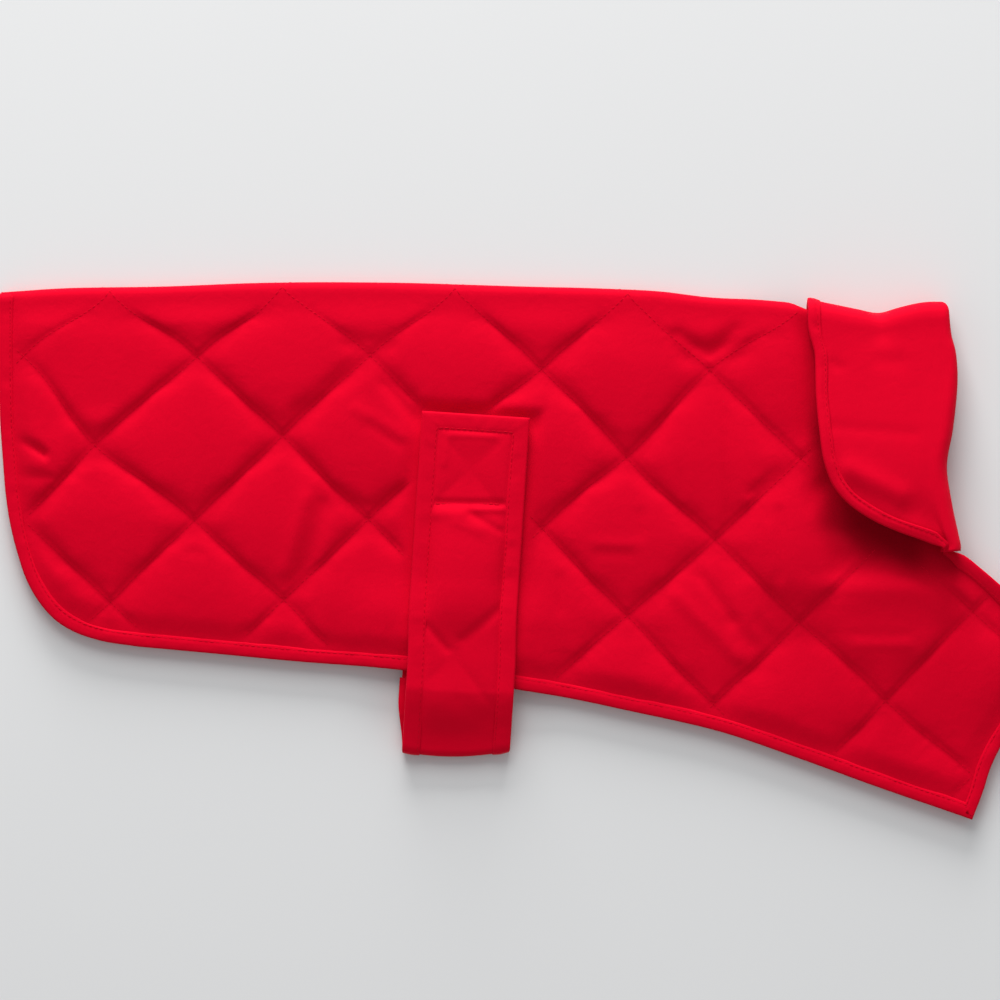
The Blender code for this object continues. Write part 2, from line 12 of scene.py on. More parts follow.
import bmesh
import bpy
import numpy as np
from bpy.props import FloatProperty, FloatVectorProperty, IntProperty, PointerProperty
from bpy.types import Operator, Panel, PropertyGroup
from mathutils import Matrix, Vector


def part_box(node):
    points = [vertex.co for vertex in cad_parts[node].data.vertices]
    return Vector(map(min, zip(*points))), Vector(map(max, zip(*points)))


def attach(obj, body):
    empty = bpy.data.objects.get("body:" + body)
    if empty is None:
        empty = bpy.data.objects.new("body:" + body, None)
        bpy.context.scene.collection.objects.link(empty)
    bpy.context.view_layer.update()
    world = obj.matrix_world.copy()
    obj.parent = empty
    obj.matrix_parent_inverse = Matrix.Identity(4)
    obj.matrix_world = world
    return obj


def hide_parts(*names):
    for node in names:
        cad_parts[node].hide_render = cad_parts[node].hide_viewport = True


bl_info = {
    "name": "Quilted Dog Coat",
    "version": (1, 0, 0),
    "blender": (4, 5, 0),
    "location": "3D View > Sidebar > Dog Coat",
    "description": "Makes the cloth, tapes, stitching and stage of a folded quilted dog coat",
    "category": "Object",
}

MM = 0.001

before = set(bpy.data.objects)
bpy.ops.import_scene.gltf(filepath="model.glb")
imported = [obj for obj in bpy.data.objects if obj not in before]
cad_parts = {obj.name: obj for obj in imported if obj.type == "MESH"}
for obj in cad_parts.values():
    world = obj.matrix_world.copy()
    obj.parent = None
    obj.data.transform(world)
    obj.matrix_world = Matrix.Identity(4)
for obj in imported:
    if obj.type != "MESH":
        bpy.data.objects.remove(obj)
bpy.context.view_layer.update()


def table(columns, rows):
    """A short table in millimetres, as {column: its values in metres}."""
    return dict(zip(columns.split(), np.array(rows, float).T * MM))


# ---------------------------------------------------------------- the coat's own sizes

TAIL_X = -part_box("hem_binding")[0].x  # the tail edge lies this far behind the origin
COLLAR_TOP_Y = 131.32 * MM  # and the collar's top line this far toward the spine

# The quilted cloth's thickness
STITCH_WALL = 1.6 * MM  # at a stitch line, and flat under its binding
LEAST_WALL = 0.9 * MM
FAR_WALL = 2.8 * MM  # the far half, pressed flat by what lies on it
FAR_GROOVE = 0.9 * MM  # how deep its stitch lines lie
SPINE_WALL = 4.2 * MM
BACK_WALL = 3.4 * MM  # the near side beside the spine
BELLY = 1.3 * MM  # how much fuller the near side is half way down
BELLY_FROM = 10 * MM
BELLY_RUN = 180 * MM
UNDER_STRAP_WALL = 4.4 * MM
STRAP_END_PRESS = 2.0 * MM  # how much deeper the strap's top end presses
STRAP_END_REACH = 8 * MM
UNDER_COLLAR_WALL = 2.4 * MM
THROAT_PRESS = 1.4 * MM  # how much thinner the cloth is under the collar by the throat

# Where a form comes up over the cloth: its (start, run), in millimetres
PAST_SPINE = (0.5, 5.7)
DOWN_BACK = (6, 20)
BRIDGED_BACK = (6, 24)
BRIDGED_SHARE = 0.75  # of the way that the cloth bridges its seams there
FAR_SIDE = (-4.2, 10.5)
BELLY_END = (330, 80)
IN_FROM_TAPE = (-2, 14)
PAST_STRAP = (2, 8)
BY_THROAT = (84, 36)
PRESSED_FADE = ((1.5, 6), (11, 4))  # past the collar's fall, each with what is added by the throat

# Tapes
SEAM_GAP = 0.3 * MM
TAPE_REACH = 1.2 * MM  # how far a tape stands out past the cloth that it binds
HEM_TAPE_WIDTH = 6.2 * MM
COLLAR_TAPE_WIDTH = 5.2 * MM
STRAP_TAPE_WIDTH = 8.3 * MM

# Quilting: stitch lines cross on a lattice of these half diagonals, through this crossing
QUILT_CROSSING = (13.2 * MM, 134.0 * MM)
QUILT_HALF_LENGTH = 45.6 * MM
QUILT_HALF_DROP = 43.3 * MM
SHOULDER = 1.5 * MM  # how high the cloth rises close to a stitch line
SHOULDER_ABOVE = 1.8 * MM  # within this above the line
SHOULDER_BELOW = 8.0 * MM  # and this below it
BRIDGE_SHARE = 0.6  # of the puff over a seam that the cloth bridges

# The fold along the spine
FOLD_GAP = 2.2 * MM  # between the halves' inner faces at the fold
PANEL_GAP = 2.9 * MM  # and where they lie on each other
FOLD_RUN = 6.3 * MM  # cloth that turns the quarter round on each side
FOLD_SQUARENESS = 0.8
ROLL_REACH = 45.0 * MM  # cloth that the soft roll of the back takes up unevenly
ROW_DATUM = 19.0 * MM

FOLD_LINE = table(
    "from_tail centre",
    [
        (0, 0.2), (32, 2.3), (85, 3.3), (140, 5.3), (201, 5.5), (276, 3.4), (318, 2.3), (350, 0.7),
        (375, -2.3), (403, -3.9), (420, -5.7), (440, -9.7), (456, -12.9), (465, -14.3), (475, -11.7),
        (488, -8.9), (505, -8.7),
    ],
)  # fmt: skip
ROW_DRIFT = table(
    "from_tail drift",
    [(0, 0), (190, 0), (286, -3.7), (371, -10.6), (424, -11.0), (477, -8.0), (513, -5.0), (550, -3.0)],
)

# The finished outline of a laid half: drop is below the collar's top edge
THROAT_EDGE = table("from_tail drop", [(499.5, 129.7), (503, 130.8), (508, 132.6), (519.4, 141), (530, 150)])
CHEST_FRONT = table(
    "from_tail drop",
    [
        (530, 150), (538.5, 159), (544.8, 170.7), (547.5, 185), (546.8, 200), (542.7, 213.5),
        (536, 225), (530, 234.3), (524.2, 246.5), (520.6, 258), (514.6, 273.5),
    ],
)  # fmt: skip
HEM = table(
    "from_tail drop",
    [
        (514.6, 273.5), (489, 264.6), (466.4, 256.8), (424, 241.4), (381.6, 227), (318, 212.6),
        (275.6, 204.8), (212, 194.2), (159, 189.9), (106, 184.9), (74, 182),
    ],
)  # fmt: skip
TAIL_CORNER = table(
    "from_tail drop",
    [
        (74, 182), (53, 178.6), (40, 174.2), (30, 168), (22.5, 160), (15.5, 148.5), (10, 133), (6.2, 118),
        (3.6, 101), (2.2, 84),
    ],
)  # fmt: skip
TAIL_EDGE = table("from_tail drop", [(2.2, 84), (0.9, 66), (0.2, 48), (0, 34)])

NECK_SEAM = table(
    "from_spine seam",
    [(0, 466), (60, 466), (90, 469), (108, 474), (120, 481), (130, 488), (141.5, 497)],
)
COLLAR_ROLL = table(
    "from_spine roll",
    [(0, 501.5), (20, 503), (54, 506), (80, 503.5), (100, 500.2), (118, 502.6), (141.5, 507.5)],
)
FALL_EDGE = table(
    "from_spine edge",
    [
        (0, 428.4), (13, 428.4), (33, 431.6), (59, 432.4), (75, 433.8), (95, 437), (105, 441),
        (113, 447.2), (120, 455.5), (126, 465), (131, 475), (136, 486.5), (141.5, 497.8),
    ],
)  # fmt: skip
THROAT = FALL_EDGE["from_spine"][-1]
COLLAR_WALL = 3.0 * MM
COLLAR_PAST_THROAT = 3.2 * MM
FALL_TAPE_PAST_THROAT = 1.4 * MM
FALL_HEIGHT = 4.8 * MM  # the fall's inner face over the coat's, at the spine
FALL_RISE = 6.4 * MM  # and how much higher the near fall stands, between these drops
FALL_RISE_FROM = 10 * MM
FALL_RISE_TO = 98 * MM
FALL_RISE_AT = 465 * MM  # where on the fall its drop is read
COLLAR_LIFT = 6.2 * MM  # the far half's rise over the far fall
COLLAR_LIFT_MARGIN = 4 * MM
COLLAR_LIFT_FADE = 42 * MM

# The strap: its top's middle, how it leans, and where its quilting crosses
STRAP_TOP = (252.3 * MM, -60.4 * MM)
STRAP_RUN = Vector((-0.0663, -1)).normalized()
STRAP_WIDTH = 57.0 * MM
STRAP_CUT_HALF = STRAP_WIDTH / 2 - TAPE_REACH
STRAP_REACH = 179.6 * MM
STRAP_STAND = 6.5 * MM  # its inner face over the near half's
STRAP_FOLD_RADIUS = 2.0 * MM
STRAP_LAP = 18 * MM  # how far its sewn end reaches in past the far hem
STRAP_SKEW = 3.7 * MM  # how far its under part lies toward the tail
STRAP_SKEW_RUN = 28 * MM
STRAP_CROSSING = (-1.3 * MM, 28.0 * MM)
STRAP_CROSSING_DRIFT = -0.032
STRAP_HALF_LENGTH = 46.0 * MM
STRAP_HALF_DROP = 49.5 * MM
STRAP_PUFF = 2.6 * MM
STRAP_LEAVES_COAT = 3 * MM  # past the hem
STRAP_ENTERS_HEM = 10 * MM  # past it again underneath
STRAP_FOLD_BOW = 2.9 * MM  # how far its fold bows out, as seen from above
STRAP_FOLD_SLANT = 2.1 * MM
STRAP_FOLD_SETBACK = 1.1 * MM
STRAP_BOWS = (135, 40)  # the (start, run) of that down the strap, in millimetres
STRAP_SWAY = 1.1 * MM  # how far it sways toward the neck before its fold
STRAP_SWAYS = (100, 35)
STRAP_TAPE_PAST_HEM = 3.5 * MM
LAP_LIFT = 1.9 * MM  # the near half's rise over the strap's sewn end
LAP_LIFT_ASIDE = 8 * MM
LAP_LIFT_ABOVE = 12 * MM
LAP_LIFT_FADE = 26 * MM


# ---------------------------------------------------------------- settings


class CoatSizes(PropertyGroup):
    """Sizes of the cloth, quilting and thread."""

    puff: FloatProperty(
        name="Puff", description="How far a diamond's middle stands over its stitching",
        default=3.2 * MM, min=2 * MM, max=7 * MM, unit="LENGTH",
    )  # fmt: skip
    quilt_cells: IntProperty(
        name="Quilt cells", description="Mesh cells along a diamond's side", default=28, min=8, max=28
    )
    stitch: FloatProperty(
        name="Stitch", description="Pitch of the stitching", default=3.1 * MM, min=2 * MM, unit="LENGTH"
    )
    thread: FloatProperty(
        name="Thread", description="Radius of the sewing thread",
        default=0.15 * MM, min=0.1 * MM, unit="LENGTH",
    )  # fmt: skip
    slack: FloatProperty(
        name="Slack", description="How much larger a diamond's cloth is than the place it is sewn to",
        default=0.03, min=0.0, max=0.15,
    )  # fmt: skip


class CoatColours(PropertyGroup):
    """Colours of the cloth, tapes and thread."""

    shell: FloatVectorProperty(
        name="Shell", description="The quilted cloth", subtype="COLOR", size=3, default=(0.66, 0.0009, 0.0175)
    )
    tape: FloatVectorProperty(
        name="Tape", description="The bindings", subtype="COLOR", size=3, default=(0.66, 0.0009, 0.0175)
    )
    thread: FloatVectorProperty(
        name="Thread", description="The sewing thread",
        subtype="COLOR", size=3, default=(0.62, 0.0012, 0.0165),
    )  # fmt: skip


class StageSettings(PropertyGroup):
    """The floor, the lights and the camera."""

    floor: FloatVectorProperty(
        name="Floor", description="The floor's colour", subtype="COLOR", size=3, default=(0.70, 0.705, 0.71)
    )
    key: FloatProperty(name="Key", description="Power of the large light, in watts", default=28.5, min=0)
    rake: FloatProperty(name="Rake", description="Power of the low light, in watts", default=276.0, min=0)
    fill: FloatProperty(name="Fill", description="Strength of the light from all round", default=0.46, min=0)
    camera_height: FloatProperty(
        name="Camera height", description="Over the floor", default=2.6, min=1.0, unit="LENGTH"
    )


# ---------------------------------------------------------------- how the coat is laid


def ease(t):
    """0 to 1 with level ends."""
    t = np.clip(t, 0.0, 1.0)
    return t * t * (3 - 2 * t)


def ramp(value, start, run):
    """0 to 1 with level ends, over a run past a start, both in millimetres."""
    return ease((value - start * MM) / (run * MM))


def curve(at, value, x):
    """Values at x of a smooth curve through the given ones."""
    slope = np.gradient(value, at, axis=0)
    x = np.clip(x, at[0], at[-1])
    i = np.clip(np.searchsorted(at, x, side="right") - 1, 0, len(at) - 2)
    span = at[i + 1] - at[i]
    t = (x - at[i]) / span
    if value.ndim > 1:
        span, t = span[:, None], t[:, None]
    ends = value[i] * (1 + 2 * t) * (1 - t) ** 2 + value[i + 1] * (3 - 2 * t) * t**2
    return ends + span * (slope[i] * t * (1 - t) ** 2 - slope[i + 1] * (1 - t) * t**2)


def read(chart, x):
    """A table's second column at values of its first, along a smooth curve."""
    return curve(*chart.values(), x)


def lengths(line):
    """How far along an open line each of its points is."""
    return np.concatenate([[0], np.cumsum(np.linalg.norm(np.diff(line, axis=0), axis=1))])


def strap_plan(down, aside):
    """The laid (x, y) of a place on the strap, from its top middle."""
    run = STRAP_RUN
    return STRAP_TOP[0] + down * run.x - aside * run.y, STRAP_TOP[1] + down * run.y + aside * run.x


def strap_place(x, y):
    """(down, aside) on the strap of a laid (x, y)."""
    run, dx, dy = STRAP_RUN, x - STRAP_TOP[0], y - STRAP_TOP[1]
    return dx * run.x + dy * run.y, -dx * run.y + dy * run.x


def hem_down(aside):
    """How far down the strap the hem crosses it."""
    low, high = 0, STRAP_REACH
    for _ in range(20):
        down = (low + high) / 2
        x, y = strap_plan(down, aside)
        if -y < np.interp(x, HEM["from_tail"][::-1], HEM["drop"][::-1]):
            low = down
        else:
            high = down
    return high


def flat_c(x, y):
    """The cloth distance c of a point laid at (x, y), past the roll of the back."""
    return ROW_DATUM + read(ROW_DRIFT, x) - y


LAP_X, LAP_Y = strap_plan(hem_down(0), 0)
LAP_C = flat_c(LAP_X, LAP_Y)
LAP_X -= STRAP_SKEW


def collar_lift(x, c):
    """The far half's rise over the far fall, which lies between it and the table."""
    before = (FALL_EDGE["edge"][0] - COLLAR_LIFT_MARGIN - x) / COLLAR_LIFT_FADE
    below = (abs(c) - THROAT - COLLAR_LIFT_MARGIN) / COLLAR_LIFT_FADE
    return COLLAR_LIFT * (1 - ease(before)) * (1 - ease(below))


def lap_lift(x, c):
    """The near half's rise over the strap's sewn end."""
    aside = (abs(x - LAP_X) - STRAP_WIDTH / 2 - LAP_LIFT_ASIDE) / LAP_LIFT_FADE
    above = (LAP_C - STRAP_LAP - LAP_LIFT_ABOVE - c) / LAP_LIFT_FADE
    return LAP_LIFT * (1 - ease(aside)) * (1 - ease(above))


def halves_gap(c):
    """How far apart the two halves' inner faces are."""
    past_fold = (abs(c) - FOLD_RUN) / (ROLL_REACH - FOLD_RUN)
    return PANEL_GAP + (FOLD_GAP - PANEL_GAP) * (1 - ease(past_fold))


def near_inner(x, c):
    """Height of the near half's inner face over the table."""
    return FAR_WALL + collar_lift(x, c) + halves_gap(c) + lap_lift(x, c)


def laid_y(x, c):
    """Where cloth at (x, c) lies across the table, past the fold."""
    past = abs(c) - FOLD_RUN
    near_fold = read(FOLD_LINE, x) - past
    in_rows = ROW_DATUM + read(ROW_DRIFT, x) - abs(c)
    t = ease(past / (ROLL_REACH - FOLD_RUN))
    return near_fold * (1 - t) + in_rows * t


def laid(x, c, n):
    """Folds flat places round the spine and gives their points in the model's frame."""
    x, c, n = np.broadcast_arrays(*(np.asarray(v, float) for v in (x, c, n)))
    side = np.where(c >= 0, 1.0, -1.0)
    turn = np.minimum(abs(c) / FOLD_RUN, 1.0) * pi / 2
    half_gap = halves_gap(c) / 2
    radius = half_gap + n
    across, up = (np.clip(np.stack([np.cos(turn), np.sin(turn)]), 0, 1)) ** FOLD_SQUARENESS
    y = np.where(abs(c) < FOLD_RUN, read(FOLD_LINE, x) + radius * across, laid_y(x, c))
    middle = FAR_WALL + collar_lift(x, c) + half_gap
    lift = np.where(side > 0, lap_lift(x, c), 0)
    z = np.maximum(middle + side * radius * up + lift, 0)
    return np.stack([x - TAIL_X, y + COLLAR_TOP_Y, z], axis=-1)


# ---------------------------------------------------------------- flat outlines


def smooth_line(points, spacing):
    """Points at an even spacing along a smooth curve through the given ones."""
    along = lengths(points)
    steps = max(2, round(along[-1] / spacing))
    return curve(along, np.asarray(points), np.linspace(0, along[-1], steps + 1))


def left_steps(points):
    """For each point of an open line, the step that moves it 1 to its left, mitred at corners."""
    ahead = np.diff(points, axis=0)
    ahead /= np.linalg.norm(ahead, axis=1)[:, None]
    left = np.stack([-ahead[:, 1], ahead[:, 0]], axis=1)
    middle = np.concatenate([left[:1], left]) + np.concatenate([left, left[-1:]])
    return middle * 2 / (middle**2).sum(axis=1)[:, None]


def bound_edge(spacing):
    """The cut edge under the coat's binding, from the near throat round the tail, and its inward steps."""
    near = []
    for chart in (THROAT_EDGE, CHEST_FRONT, HEM, TAIL_CORNER, TAIL_EDGE):
        x = chart["from_tail"]
        points = np.stack([x, flat_c(x, -chart["drop"])], axis=1)
        near.append(smooth_line(points, spacing)[:-1])
    last = flat_c(0, -TAIL_EDGE["drop"][-1])
    near.append([(0, c) for c in np.linspace(last, 0, round(last / spacing))])
    near = np.concatenate(near)
    finished = np.concatenate([near, near[-2::-1] * (1, -1)])
    steps = left_steps(finished)
    return finished + TAPE_REACH * steps, steps


def neck_seam(spacing):
    """The coat's edge that the collar is sewn to, from the far throat to the near one."""
    rows = np.linspace(-THROAT, THROAT, round(2 * THROAT / spacing))
    return np.stack([read(NECK_SEAM, abs(rows)), rows], axis=1)


def cut_outline(spacing):
    """The cut's bound edge, and the whole closed outline."""
    edge, _ = bound_edge(spacing)
    return edge, np.concatenate([edge, neck_seam(spacing)])


def from_line(places, line):
    """How far each flat place is from an open line."""
    start, run = line[:-1], np.diff(line, axis=0)
    found = np.empty(len(places))
    batch = 4000  # places at a time, to save memory
    for first in range(0, len(places), batch):
        part = places[first : first + batch, None]
        t = ((part - start) * run).sum(axis=2) / (run**2).sum(axis=1)
        nearest = start + np.clip(t, 0, 1)[..., None] * run
        found[first : first + batch] = np.linalg.norm(part - nearest, axis=2).min(axis=1)
    return found


def inside(places, outline):
    """Whether each flat place is inside a closed outline."""
    x, y = places[:, 0], places[:, 1]
    found = np.zeros(len(places), bool)
    for (ax, ay), (bx, by) in zip(outline, np.roll(outline, -1, axis=0)):
        if ay != by:
            crosses = (ay > y) != (by > y)
            found ^= crosses & (x < ax + (y - ay) * (bx - ax) / (by - ay))
    return found


# ---------------------------------------------------------------- building meshes


def quilt_place(x, c):
    """(u, v) of flat places on the quilting's lattice: a stitch line runs where u + v or u - v is even."""
    return (x - QUILT_CROSSING[0]) / QUILT_HALF_LENGTH, (c - QUILT_CROSSING[1]) / QUILT_HALF_DROP


def grid_faces(shape, closed=False):
    """The faces of grids of points numbered row by row; in a closed one, each row runs round."""
    index = np.arange(np.prod(shape)).reshape(shape)
    if closed:
        index = np.concatenate([index, index[..., :1]], axis=-1)
    corners = index[..., :-1, :-1], index[..., :-1, 1:], index[..., 1:, 1:], index[..., 1:, :-1]
    return np.stack(corners, axis=-1).reshape(-1, 4)


def quilt_sheet(outline, cells):
    """A flat mesh of cells along the quilting's lines, trimmed to a closed outline: its places and faces."""
    low, high = outline.min(axis=0), outline.max(axis=0)
    u, v = quilt_place(*np.array([(x, y) for x in (low[0], high[0]) for y in (low[1], high[1])]).T)
    ends = ((int(k.min() / 2 * cells) - 1, int(k.max() / 2 * cells) + 2) for k in (u + v, u - v))
    p, q = (np.arange(*end) / cells for end in ends)
    p, q = np.meshgrid(p, q, indexing="ij")
    x, c = QUILT_CROSSING[0] + (p + q) * QUILT_HALF_LENGTH, QUILT_CROSSING[1] + (p - q) * QUILT_HALF_DROP
    places = np.stack([x, c], axis=-1).reshape(-1, 2)
    quads = grid_faces(p.shape)
    middles = places[quads].mean(axis=1)
    cell = np.hypot(QUILT_HALF_LENGTH, QUILT_HALF_DROP) / cells
    around = ((middles > low - 2 * cell) & (middles < high + 2 * cell)).all(axis=1)
    quads, middles = quads[around], middles[around]
    closed = np.concatenate([outline, outline[:1]])
    rim = from_line(middles, closed) < 1.1 * cell
    whole = quads[inside(middles, outline) & ~rim]
    return joined_sheet([(places, whole), trimmed(places, quads[rim], closed, cell)])


def trimmed(places, quads, closed, cell):
    """The given cells, cut along a closed outline, without what lies outside it."""
    bm = bmesh.new()
    verts = {i: bm.verts.new((*places[i], 0)) for i in np.unique(quads)}
    faces = [bm.faces.new([verts[i] for i in quad]) for quad in quads]
    known = set(faces)
    middles = [tuple(places[quad].mean(axis=0)) for quad in quads]
    for a, b in zip(closed, closed[1:]):
        run = b - a
        offsets = np.array(middles) - a
        along = np.clip(offsets @ run / (run @ run), 0, 1)
        near = np.flatnonzero(np.linalg.norm(offsets - along[:, None] * run, axis=1) < 0.9 * cell)
        chosen = [faces[i] for i in near]
        geometry = {*chosen, *(e for f in chosen for e in f.edges), *(v for f in chosen for v in f.verts)}
        line = {"plane_co": (*a, 0), "plane_no": (-run[1], run[0], 0)}
        cut = bmesh.ops.bisect_plane(bm, geom=list(geometry), dist=1e-7, **line)
        for face in cut["geom"]:
            if isinstance(face, bmesh.types.BMFace) and face not in known:
                known.add(face)
                faces.append(face)
                middles.append(tuple(face.calc_center_median().xy))
    faces = list(bm.faces)
    keep = inside(np.array([f.calc_center_median().xy for f in faces]), closed[:-1])
    outside = [f for f, kept in zip(faces, keep) if not kept]
    bmesh.ops.delete(bm, geom=outside, context="FACES")
    bmesh.ops.remove_doubles(bm, verts=bm.verts[:], dist=0.05 * cell)
    bmesh.ops.triangulate(bm, faces=[f for f in bm.faces if len(f.verts) > 4])
    bm.verts.index_update()
    found = np.array([v.co.xy for v in bm.verts]), [[v.index for v in f.verts] for f in bm.faces]
    bm.free()
    return found


def renumbered(faces):
    """The points that faces use, and the faces with those points numbered afresh."""
    used = np.unique([i for face in faces for i in face])
    number = {old: new for new, old in enumerate(used)}
    return used, [[number[i] for i in face] for face in faces]


def joined_sheet(sheets):
    """Several flat meshes as one, with the places they share made one, and only those in use."""
    places = np.concatenate([sheet[0] for sheet in sheets])
    offsets = np.cumsum([0] + [len(sheet[0]) for sheet in sheets])
    grain = 1e-3 * MM  # places closer than this are one
    _, first, same = np.unique(np.round(places / grain), axis=0, return_index=True, return_inverse=True)
    same = same.ravel()
    faces = [[same[i + offset] for i in face] for (_, some), offset in zip(sheets, offsets) for face in some]
    used, faces = renumbered(faces)
    return places[first][used], [face for face in faces if len(set(face)) > 2]


def directed_rim(faces):
    """The edges that only one face has, each as that face runs it."""
    edges = {(a, b) for face in faces for a, b in zip(face, [*face[1:], face[0]])}
    return [(a, b) for a, b in edges if (b, a) not in edges]


def new_piece(name, points, faces, flat=None):
    """A mesh object from points and faces, with its flat places as its UV map, in metres."""
    mesh = bpy.data.meshes.new(name)
    mesh.from_pydata([tuple(p) for p in points], [], [tuple(int(i) for i in f) for f in faces])
    mesh.validate()
    if flat is not None:
        corners = np.empty(len(mesh.loops), int)
        mesh.loops.foreach_get("vertex_index", corners)
        layer = mesh.uv_layers.new(name="cut")
        layer.data.foreach_set("uv", np.asarray(flat, np.float32)[corners].ravel())
    mesh.shade_smooth()
    piece = bpy.data.objects.new(name, mesh)
    bpy.context.scene.collection.objects.link(piece)
    return piece


def closed_piece(name, points, faces, flat=None):
    """A mesh object of closed walls, with its faces turned outwards."""
    piece = new_piece(name, points, faces, flat)
    bm = bmesh.new()
    bm.from_mesh(piece.data)
    if bm.calc_volume(signed=True) < 0:
        bmesh.ops.reverse_faces(bm, faces=bm.faces[:])
        bm.to_mesh(piece.data)
    bm.free()
    return piece


def closed_sheet(name, flat, faces, outer, inner):
    """A closed wall between the outer and inner points of a flat mesh."""
    count = len(flat)
    walls = [(b, a, a + count, b + count) for a, b in directed_rim(faces)]
    inner_faces = [[i + count for i in face[::-1]] for face in faces]
    points, cut = np.concatenate([outer, inner]), np.concatenate([flat, flat])
    return closed_piece(name, points, [*faces, *inner_faces, *walls], cut)


def closed_loft(name, rings, flat):
    """A closed folded wall through rings, each its outer line and then its inner line run back."""
    rings, flat = np.asarray(rings), np.asarray(flat)
    steps, count = rings.shape[:2]
    caps = []
    for end in (np.arange(count), np.arange(steps * count)[: -count - 1 : -1]):
        for i in range(count // 2 - 1):
            caps.append((end[i], end[-1 - i], end[-2 - i], end[i + 1]))
    sides = grid_faces((steps, count), closed=True)
    return closed_piece(name, rings.reshape(-1, 3), [*sides, *caps], flat.reshape(-1, 2))


# ---------------------------------------------------------------- the quilted shell

# Soft troughs and ridges of the near side, in the plane it lies in: each runs from one place to another
CREASES = (
    # from_x from_drop to_x to_drop width height
    (13, 73.5, 27, 77.5, 2.4, -2.4),
    (11, 84, 27, 84, 3.0, 0.5),
    (12, 91.5, 31, 90.5, 2.4, -0.8),
    (12, 113, 32, 137, 4.0, -1.2),
    (184, 22, 206, 24, 4.5, -1.3),
    (187, 34, 159, 58, 4.6, -1.1),
    (203.5, 43, 220, 62, 3.4, -1.5),
    (190, 57, 213, 70, 3.0, 0.6),
    (197, 64, 211, 74, 2.6, -0.6),
    (186, 106, 199, 110, 3.2, -1.4),
    (171, 107, 159, 147, 6.0, -1.9),
    (161, 103, 151, 141, 3.6, 0.8),
    (100, 132, 107, 132, 3.0, -0.4),
    (50, 62, 66, 62, 6.5, 1.2),
    (360, 18.5, 377, 33, 4.6, -1.5),
    (389.5, 14.5, 379, 33, 4.6, -1.5),
    (368, 30, 388, 30, 7.5, -1.8),
    (385.3, 59, 385.3, 119, 1.2, -0.7),
    (389, 64, 389, 110, 3.0, -0.3),
    (361, 86, 361, 112, 1.8, -0.3),
    (399, 100, 417.6, 86, 3.0, -1.2),
    (413, 110, 413, 146, 2.3, -0.8),
    (407, 118, 408, 150, 2.0, 0.4),
    (339.6, 110, 339.6, 122, 2.8, -0.5),
    (316, 126, 336, 127, 2.4, 0.45),
    (318, 131.5, 334, 132.5, 2.6, -0.35),
    (297, 146, 297, 162, 3.6, -0.6),
    (370, 145, 388, 168, 3.0, -1.0),
    (386, 168, 398, 180, 3.4, -0.7),
    (358, 155, 391, 186, 3.6, 0.8),
    (401, 168, 414, 181, 2.8, -0.5),
    (452, 181, 480, 181, 2.3, 0.4),
    (450, 178, 490, 178, 12.0, 1.1),
    (452, 176, 480, 176, 2.3, -0.3),
    (429, 32, 431, 80, 11.0, -1.8),
    (446, 134, 494, 137, 7.0, -1.4),
    (439, 118, 443, 140, 6.0, -1.4),
    (502, 150, 520, 160, 6.0, 1.2),
)


def line_rise(x, y, rows):
    """The sum of soft troughs and ridges at plane places."""
    rise = np.zeros(np.broadcast(x, y).shape)
    for row in rows:
        from_x, from_y, to_x, to_y, width, height = np.array(row) * MM
        run_x, run_y = to_x - from_x, to_y - from_y
        length = np.hypot(run_x, run_y)
        along = ((x - from_x) * run_x + (y - from_y) * run_y) / length**2
        aside = ((x - from_x) * run_y - (y - from_y) * run_x) / length
        past = np.maximum(np.maximum(-along, along - 1), 0) * length
        rise += height * np.exp(-((aside / width) ** 2) - (past / width) ** 2)
    return rise


def crease_rise(x, c, rows):
    """How far the near side's creases lift its cloth at flat places, or press it in."""
    return np.where(c > 0, line_rise(x, -laid_y(x, c), rows), 0)


def domed(u, v):
    """0 on a lattice's lines and 1 in its diamonds' middles."""
    return abs(np.sin(pi * (u + v) / 2) * np.sin(pi * (u - v) / 2))


def quilt_rise(x, c):
    """0 on the stitch lines and 1 in a diamond's middle."""
    return domed(*quilt_place(x, c))


def quilt_shoulder(x, c):
    """0 on the stitch lines, rising to 1: steeply above one, where the padding has sunk, and gently below."""
    u, v = quilt_place(x, c)
    p, q = (u + v) / 2 % 1, (u - v) / 2 % 1
    apart = 2 / np.hypot(1 / QUILT_HALF_LENGTH, 1 / QUILT_HALF_DROP)
    below, above = np.minimum(p, 1 - q) * apart, np.minimum(1 - p, q) * apart
    return (1 - np.exp(-below / SHOULDER_BELOW)) * (1 - np.exp(-above / SHOULDER_ABOVE))


def near_place(x, drop, place):
    """1 at a place of the near side and fading round it; place is (from_tail, drop, reach) in millimetres."""
    at_x, at_drop, reach = np.array(place) * MM
    return np.exp(-((x - at_x) ** 2 + (drop - at_drop) ** 2) / reach**2)


# Where the near side's seams pull less, and its cloth runs over them: around a place, and by what share
LOOSE_SEAMS = (
    # from_tail drop reach share
    (30, 14, 26, 0.9),
    (171, 4, 24, 0.8),
    (214, 16, 22, 0.6),
    (352, 4, 30, 0.85),
    (404, 4, 30, 0.7),
    (22, 50, 16, 0.5),
    (62, 74, 18, 0.3),
    (196, 40, 10, 0.5),
)


def seam_ease(x, c):
    """How far the cloth bridges its seams, as a share: most by the spine."""
    drop = -laid_y(x, c)
    bridged = BRIDGED_SHARE * (1 - ramp(c, *BRIDGED_BACK))
    for *place, share in LOOSE_SEAMS:
        bridged = bridged + share * near_place(x, drop, place) * (1 - bridged)
    return np.where(c > 0, bridged, 0)


